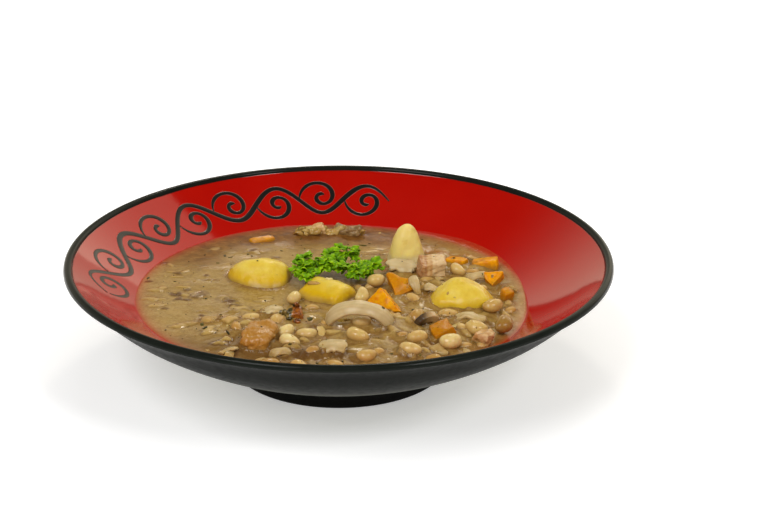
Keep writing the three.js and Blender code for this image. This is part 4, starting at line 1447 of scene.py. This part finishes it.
# Bits of herb seen on the broth and the pieces: where, how long and wide, their turn and tint.
DARK_BITS = [
    (-66.1, -8.6, 1.6, 1.6, 0, 0.3), (-60.4, 49.6, 3.0, 1.8, -20, 0.3), (-57.4, 47.4, 3.2, 1.0, 12, 0.5),
    (-97.2, 17, 3.4, 1.4, -8, 0.6), (-52.5, -55, 5.6, 1.1, -14, 0.1), (-65.6, -41.8, 3.6, 2, -24, 0.6),
    (-63.8, -46.6, 2.8, 3.2, 30, 0.4), (12.6, 67, 5, 1.8, -12, 0.5), (-14.6, -35, 4.6, 3.4, -8, 0.5),
    (16.6, -26.0, 1.1, 1.1, 0, 0.1), (20.6, -44.4, 2.2, 2.0, -30, 0.6), (-5.0, -32.0, 1.6, 1.6, 0, 0.2),
    (-16.4, -22.4, 0.9, 0.9, 0, 0.2), (-34.6, 24.0, 1.5, 1.2, 0, 0.3), (-41.6, 17.0, 1.1, 0.9, 0, 0.4),
    (-10.4, -85.4, 1.5, 1.2, 0, 0.2), (1.0, -85.0, 1.3, 1.1, 20, 0.1), (-23.0, -71.4, 1.7, 1.2, 0, 0.3),
    (48.2, 22.6, 1.2, 1.2, 0, 0.3), (35.4, -26.2, 2.2, 1.6, 30, 0.0), (52.0, -1.0, 5.0, 1.0, 14, 0.8),
]
# Scraps on the middle potato, in the same way.
SCRAPS = [(-13.2, -1.4, 8.0, 3.4, 30, 0.25), (-5.4, 0.6, 4.8, 2.8, -12, 0.95)]
# Herbs and flesh that cling round the piece of tomato, in the same way.
TOMATO_SCRAPS = [
    (-26.4, -35.4, 3.6, 3.0, 20, 0.0), (-24.6, -31.8, 3.4, 2.6, -30, 0.0),
    (-24.2, -39.6, 4.0, 3.0, 10, 0.0), (-20.6, -40.6, 4.4, 3.4, -20, 0.0),
    (-20.8, -32.6, 3.4, 3.0, 40, 0.0), (-28.0, -38.6, 2.6, 1.8, 0, 0.0),
]


def laid_bits(name, bits, material, tree, thickness=0.45):
    parts = []
    for index, (x, y, length, width, turn, tint) in enumerate(bits):
        hit, normal, _, _ = tree.ray_cast(Vector((x, y, FALL_HEIGHT)), Vector((0, 0, -1)))
        points, faces = flake(length, width, thickness, 500 + index, 13)
        matrix = lie(hit, normal) @ Matrix.Rotation(math.radians(turn), 4, "Z")
        parts.append((moved(points, matrix), faces, {"tint": tint}))
    return new_solids(name, parts, material)


def make_small_things(materials, solid_things):
    """Herbs, scraps, bits, grains, slivers and skins, on the broth and on what stands in it."""
    tree = tree_of(solid_things)

    def herb(picker):
        length = picker.uniform(0.8, 2.2)
        points, faces = flake(length, length * picker.uniform(0.3, 0.8), 0.3, picker.random())
        return points, faces, {"tint": picker.uniform(0, 1) ** 1.6}

    def pepper(picker):
        size = picker.uniform(0.3, 0.75)
        points, faces = flake(size, size * picker.uniform(0.6, 1), size * 0.6, picker.random(), 7)
        return points, faces, {"tint": picker.uniform(0, 1)}

    def bit(picker):
        length = picker.uniform(1.0, 3.2)
        points, faces = flake(length, length * picker.uniform(0.3, 0.6), 0.5, picker.random())
        values = {"low": 0.0, "tint": picker.uniform(0, 1), "scar": picker.choice((0.0, 0.0, 0.5, 0.9))}
        values["soak"] = picker.uniform(0.45, 0.85)
        return points, faces, values

    def sliver(picker):
        length = picker.uniform(5.0, 10.0)
        points, faces, vein = onion_piece(length, length * picker.uniform(0.4, 0.7), 2.8, 18, 14, length)
        return points, faces, {"vein": vein, "milky": 0.0}

    def skin(picker):
        length = picker.uniform(3.0, 6.5)
        points, faces, _ = onion_piece(length, length * picker.uniform(0.5, 0.8), 1.4, 14, 11, length)
        return points, faces, {"tint": picker.uniform(0.2, 1.0), "scar": 0.0, "soak": 0.25, "low": 0.0}

    def in_heap(x, y, picker):
        return heap_share(x, y) > picker.uniform(0.2, 0.9)

    laid_bits("laid_herbs", DARK_BITS, materials["herb"], tree)
    laid_bits("tomato_scraps", TOMATO_SCRAPS, materials["tomato"], tree, 2.4)
    laid_bits("potato_scraps", SCRAPS, materials["bean"], tree, 1.3)
    scatter("broth_bits", 110, bit, materials["bean"], tree, 35, lift=-0.1, tilt=6)
    scatter("herb_flakes", 60, herb, materials["herb"], tree, 31, lift=0.06)
    scatter("pepper_grains", 130, pepper, materials["pepper"], tree, 32, lift=0.04)
    scatter("onion_slivers", 9, sliver, materials["onion"], tree, 33, in_heap, -1.3, 8, 1.6)
    scatter("bean_skins", 6, skin, materials["bean"], tree, 34, in_heap, -0.5, 8, 1.6)


# ================================================================ the painted scroll
SCROLL_FROM = 190.0
SCROLL_TO = 76.0
SCROLL_WAVES = 4.5
STEM_SWING = 8.5
STROKE_WIDTH = 2.6
STROKE_RISE = 0.16
WALL_MIDDLE = 116.0  # the radius at which a millimetre along the scroll is a true one
WALL_SLOPE_LENGTH = 35.0


def wall_point(along, up):
    """A point on the inner wall, from millimetres along the scroll and up the slope."""
    radius = STEW_RADIUS + (RED_EDGE - STEW_RADIUS) * up / WALL_SLOPE_LENGTH
    angle = math.radians(SCROLL_FROM) - along / WALL_MIDDLE
    return np.stack([radius * np.cos(angle), radius * np.sin(angle), wall_height(radius)], axis=-1)


def wall_normal(points):
    radius = np.hypot(points[:, 0], points[:, 1])
    slope = wall_height(radius + 0.5) - wall_height(radius - 0.5)
    inward = -points[:, :2] / radius[:, None]
    normals = np.concatenate([inward * slope[:, None], np.ones((len(points), 1))], axis=1)
    return normals / np.linalg.norm(normals, axis=1, keepdims=True)


# Across a stroke: place from -1 to 1, rise, and how much of the pale halo shows.
STROKE_PROFILE = [
    (-1.0, -0.5, 1.0), (-1.0, 0.1, 1.0), (-0.84, 0.3, 0.7), (-0.7, 0.8, 0.1), (-0.35, 1.0, 0.0),
    (0.0, 1.0, 0.0), (0.35, 1.0, 0.0), (0.7, 0.8, 0.1), (0.84, 0.3, 0.7), (1.0, 0.1, 1.0), (1.0, -0.5, 1.0),
]


def stroke_part(along, up, widths):
    """A low raised line of glaze along the wall, with a pale halo at its sides."""
    spine = wall_point(along, up)
    normals = wall_normal(spine)
    way = np.gradient(spine, axis=0)
    way /= np.linalg.norm(way, axis=1, keepdims=True)
    side = np.cross(way, normals)
    rows = []
    for across, rise, _ in STROKE_PROFILE:
        offset = spine + side * (across * 0.62 * widths)[:, None]
        offset[:, 2] = wall_height(np.hypot(offset[:, 0], offset[:, 1]))
        rows.append(offset + normals * (STROKE_RISE * rise))
    grid = np.stack(rows, axis=1)
    count, columns = grid.shape[:2]
    halo = np.tile([share for _, _, share in STROKE_PROFILE], count)
    return grid.reshape(-1, 3), tube_faces(count, columns), {"halo": halo}


def tapered(count, width):
    """A stroke's width along it: narrow at both ends, and a little uneven."""
    t = np.linspace(0, 1, count)
    ends = np.clip(0.3 + 8 * np.minimum(t, 1 - t), 0, 1)
    return width * ends * (1 + 0.1 * np.sin(19 * t + width))


def make_scroll(material):
    """A wavy stem along the wall with a curled shoot in every bend."""
    length = math.radians(SCROLL_FROM - SCROLL_TO) * WALL_MIDDLE
    wave = length / SCROLL_WAVES
    middle = 0.5 * WALL_SLOPE_LENGTH
    along = np.linspace(0, length, 260)
    up = middle + STEM_SWING * np.sin(2 * math.pi * along / wave) + 0.5 * np.sin(along / 5.3)
    parts = [stroke_part(along, up, tapered(len(along), STROKE_WIDTH))]
    for bend in range(int(2 * SCROLL_WAVES)):
        side = 1 if bend % 2 == 0 else -1
        t = np.linspace(0, 1, 70)
        turn = math.pi + side * 8.6 * t
        reach = 2.3 + (0.25 * wave - 2.6) * (1 - t) ** 2.2
        shoot_along = (bend + 0.5) * wave / 2 + reach * np.cos(turn)
        shoot_up = middle - side * 1.2 + reach * np.sin(turn)
        parts.append(stroke_part(shoot_along, shoot_up, tapered(len(t), 0.85 * STROKE_WIDTH)))
    new_solids("painted_scroll", parts, material)


# ================================================================ studio
def way_to(azimuth, elevation):
    """A direction: azimuth from +Y towards +X, elevation above the table."""
    a, e = math.radians(azimuth), math.radians(elevation)
    return Vector((math.sin(a) * math.cos(e), math.cos(a) * math.cos(e), math.sin(e)))


def softbox(name, azimuth, elevation, distance, width, height, radiance, colour=(1, 1, 1)):
    """A lit panel that faces the bowl; radiance 1 shows as white."""
    light = bpy.data.lights.new(name, "AREA")
    light.shape = "RECTANGLE"
    light.size, light.size_y = width, height
    light.energy = math.pi * width * height * radiance
    light.color = colour
    holder = bpy.data.objects.new(name, light)
    way = way_to(azimuth, elevation)
    holder.location = Vector((0, 0, 0.03)) + way * distance
    holder.rotation_euler = way.to_track_quat("Z", "Y").to_euler()
    holder.visible_camera = False
    bpy.context.scene.collection.objects.link(holder)
    return holder


BACK_GLOW = 0.85
CEILING_GLOW = 0.03
TABLE_HALF = 5000.0


def make_world():
    """A bright band low down behind the bowl, fading to a dark ceiling and a dark near side."""
    world = bpy.data.worlds.new("studio")
    bpy.context.scene.world = world
    world.use_nodes = True
    nodes, links = world.node_tree.nodes, world.node_tree.links
    split = nodes.new("ShaderNodeSeparateXYZ")
    links.new(nodes.new("ShaderNodeTexCoord").outputs["Generated"], split.inputs[0])

    def fade(source, start, end, from_value, to_value):
        node = nodes.new("ShaderNodeMapRange")
        node.interpolation_type = "SMOOTHSTEP"
        limits = {"From Min": start, "From Max": end, "To Min": from_value, "To Max": to_value}
        for key, value in limits.items():
            node.inputs[key].default_value = value
        links.new(source, node.inputs["Value"])
        return node.outputs["Result"]

    strength = nodes.new("ShaderNodeMath")
    strength.operation = "MULTIPLY"
    links.new(fade(split.outputs["Z"], 0.25, 0.78, BACK_GLOW, CEILING_GLOW), strength.inputs[0])
    links.new(fade(split.outputs["Y"], -0.1, 0.3, 0.15, 1.0), strength.inputs[1])
    nodes["Background"].inputs["Color"].default_value = (1.0, 0.9, 0.7, 1.0)
    links.new(strength.outputs["Value"], nodes["Background"].inputs["Strength"])


def far_lamp(name, azimuth, elevation, spread, share):
    """A soft lamp far off; share is how much of white it gives a white table."""
    light = bpy.data.lights.new(name, "SUN")
    light.angle = math.radians(spread)
    light.energy = share * math.pi / math.sin(math.radians(elevation))
    holder = bpy.data.objects.new(name, light)
    holder.rotation_euler = way_to(azimuth, elevation).to_track_quat("Z", "Y").to_euler()
    bpy.context.scene.collection.objects.link(holder)


def make_studio(material):
    make_world()
    softbox("back_softbox", 36, 33, 1.25, 0.95, 0.98, 1.1, (1.0, 0.9, 0.7))
    softbox("glint_lamp", 4, 47, 1.3, 0.17, 0.17, 22.0, (1.0, 0.93, 0.8))
    overhead = softbox("overhead", 8, 72, 1.5, 0.9, 0.9, 1.2)
    near_fill = softbox("near_fill", 178, 34, 2.6, 3.0, 1.7, 1.45)
    for panel in (overhead, near_fill):
        panel.visible_glossy = False
    far_lamp("key_left", -140, 48, 26, 0.36)
    far_lamp("key_right", 138, 44, 14, 0.2)
    half = TABLE_HALF * MM
    mesh = bpy.data.meshes.new("table")
    corners = [(-half, -half, 0), (half, -half, 0), (half, half, 0), (-half, half, 0)]
    mesh.from_pydata(corners, [], [(0, 1, 2, 3)])
    table = bpy.data.objects.new("table", mesh)
    mesh.materials.append(material)
    bpy.context.scene.collection.objects.link(table)


def make_camera():
    yaw, pitch, roll = (math.radians(angle) for angle in (CAMERA_YAW, CAMERA_PITCH, CAMERA_ROLL))
    ahead = Vector((math.sin(yaw) * math.cos(pitch), math.cos(yaw) * math.cos(pitch), -math.sin(pitch)))
    level_right = ahead.cross(Vector((0, 0, 1))).normalized()
    level_up = level_right.cross(ahead)
    right = math.cos(roll) * level_right + math.sin(roll) * level_up
    up = math.cos(roll) * level_up - math.sin(roll) * level_right
    camera = bpy.data.objects.new("camera", bpy.data.cameras.new("camera"))
    camera.data.lens = CAMERA_LENS
    camera.data.sensor_width = 36.0
    camera.data.clip_end = 50.0
    matrix = Matrix((right, up, -ahead)).transposed().to_4x4()
    matrix.translation = Vector(CAMERA_PLACE) * MM
    camera.matrix_world = matrix
    bpy.context.scene.collection.objects.link(camera)
    bpy.context.scene.camera = camera


# ================================================================ the whole
make_camera()
make_studio(floor_material())
bpy.context.scene.view_settings.view_transform = "Standard"

MATERIALS = {
    "stroke": stroke_material(), "broth": broth_material(), "potato": potato_material(),
    "carrot": carrot_material(), "ham": ham_material(), "mushroom": mushroom_material(),
    "tomato": tomato_material(), "onion": onion_material(), "bean": bean_material(),
    "parsley": parsley_material(), "herb": herb_material(), "pepper": pepper_material(),
}
make_bowl([red_glaze_material(), lip_material(), black_glaze_material(), foot_material()])
make_scroll(MATERIALS["stroke"])
standing = [
    make_potato(name, shape, MATERIALS["potato"], 200 + 10 * index)
    for index, (name, shape) in enumerate(POTATOES.items())
]
standing += make_carrots(MATERIALS["carrot"])
standing += make_ham(MATERIALS["ham"])
standing += make_mushrooms(MATERIALS["mushroom"])
standing.append(make_tomato(MATERIALS["tomato"]))
standing += make_onions(MATERIALS["onion"])
standing += make_high_beans(MATERIALS["bean"])
standing.append(make_small_beans(MATERIALS["bean"], standing))
standing.append(make_onion_curls(MATERIALS["onion"]))
standing.append(make_shreds(MATERIALS["bean"]))
broth = make_stew(MATERIALS["broth"], standing)
make_small_things(MATERIALS, standing + [broth])
make_parsley(MATERIALS["parsley"])
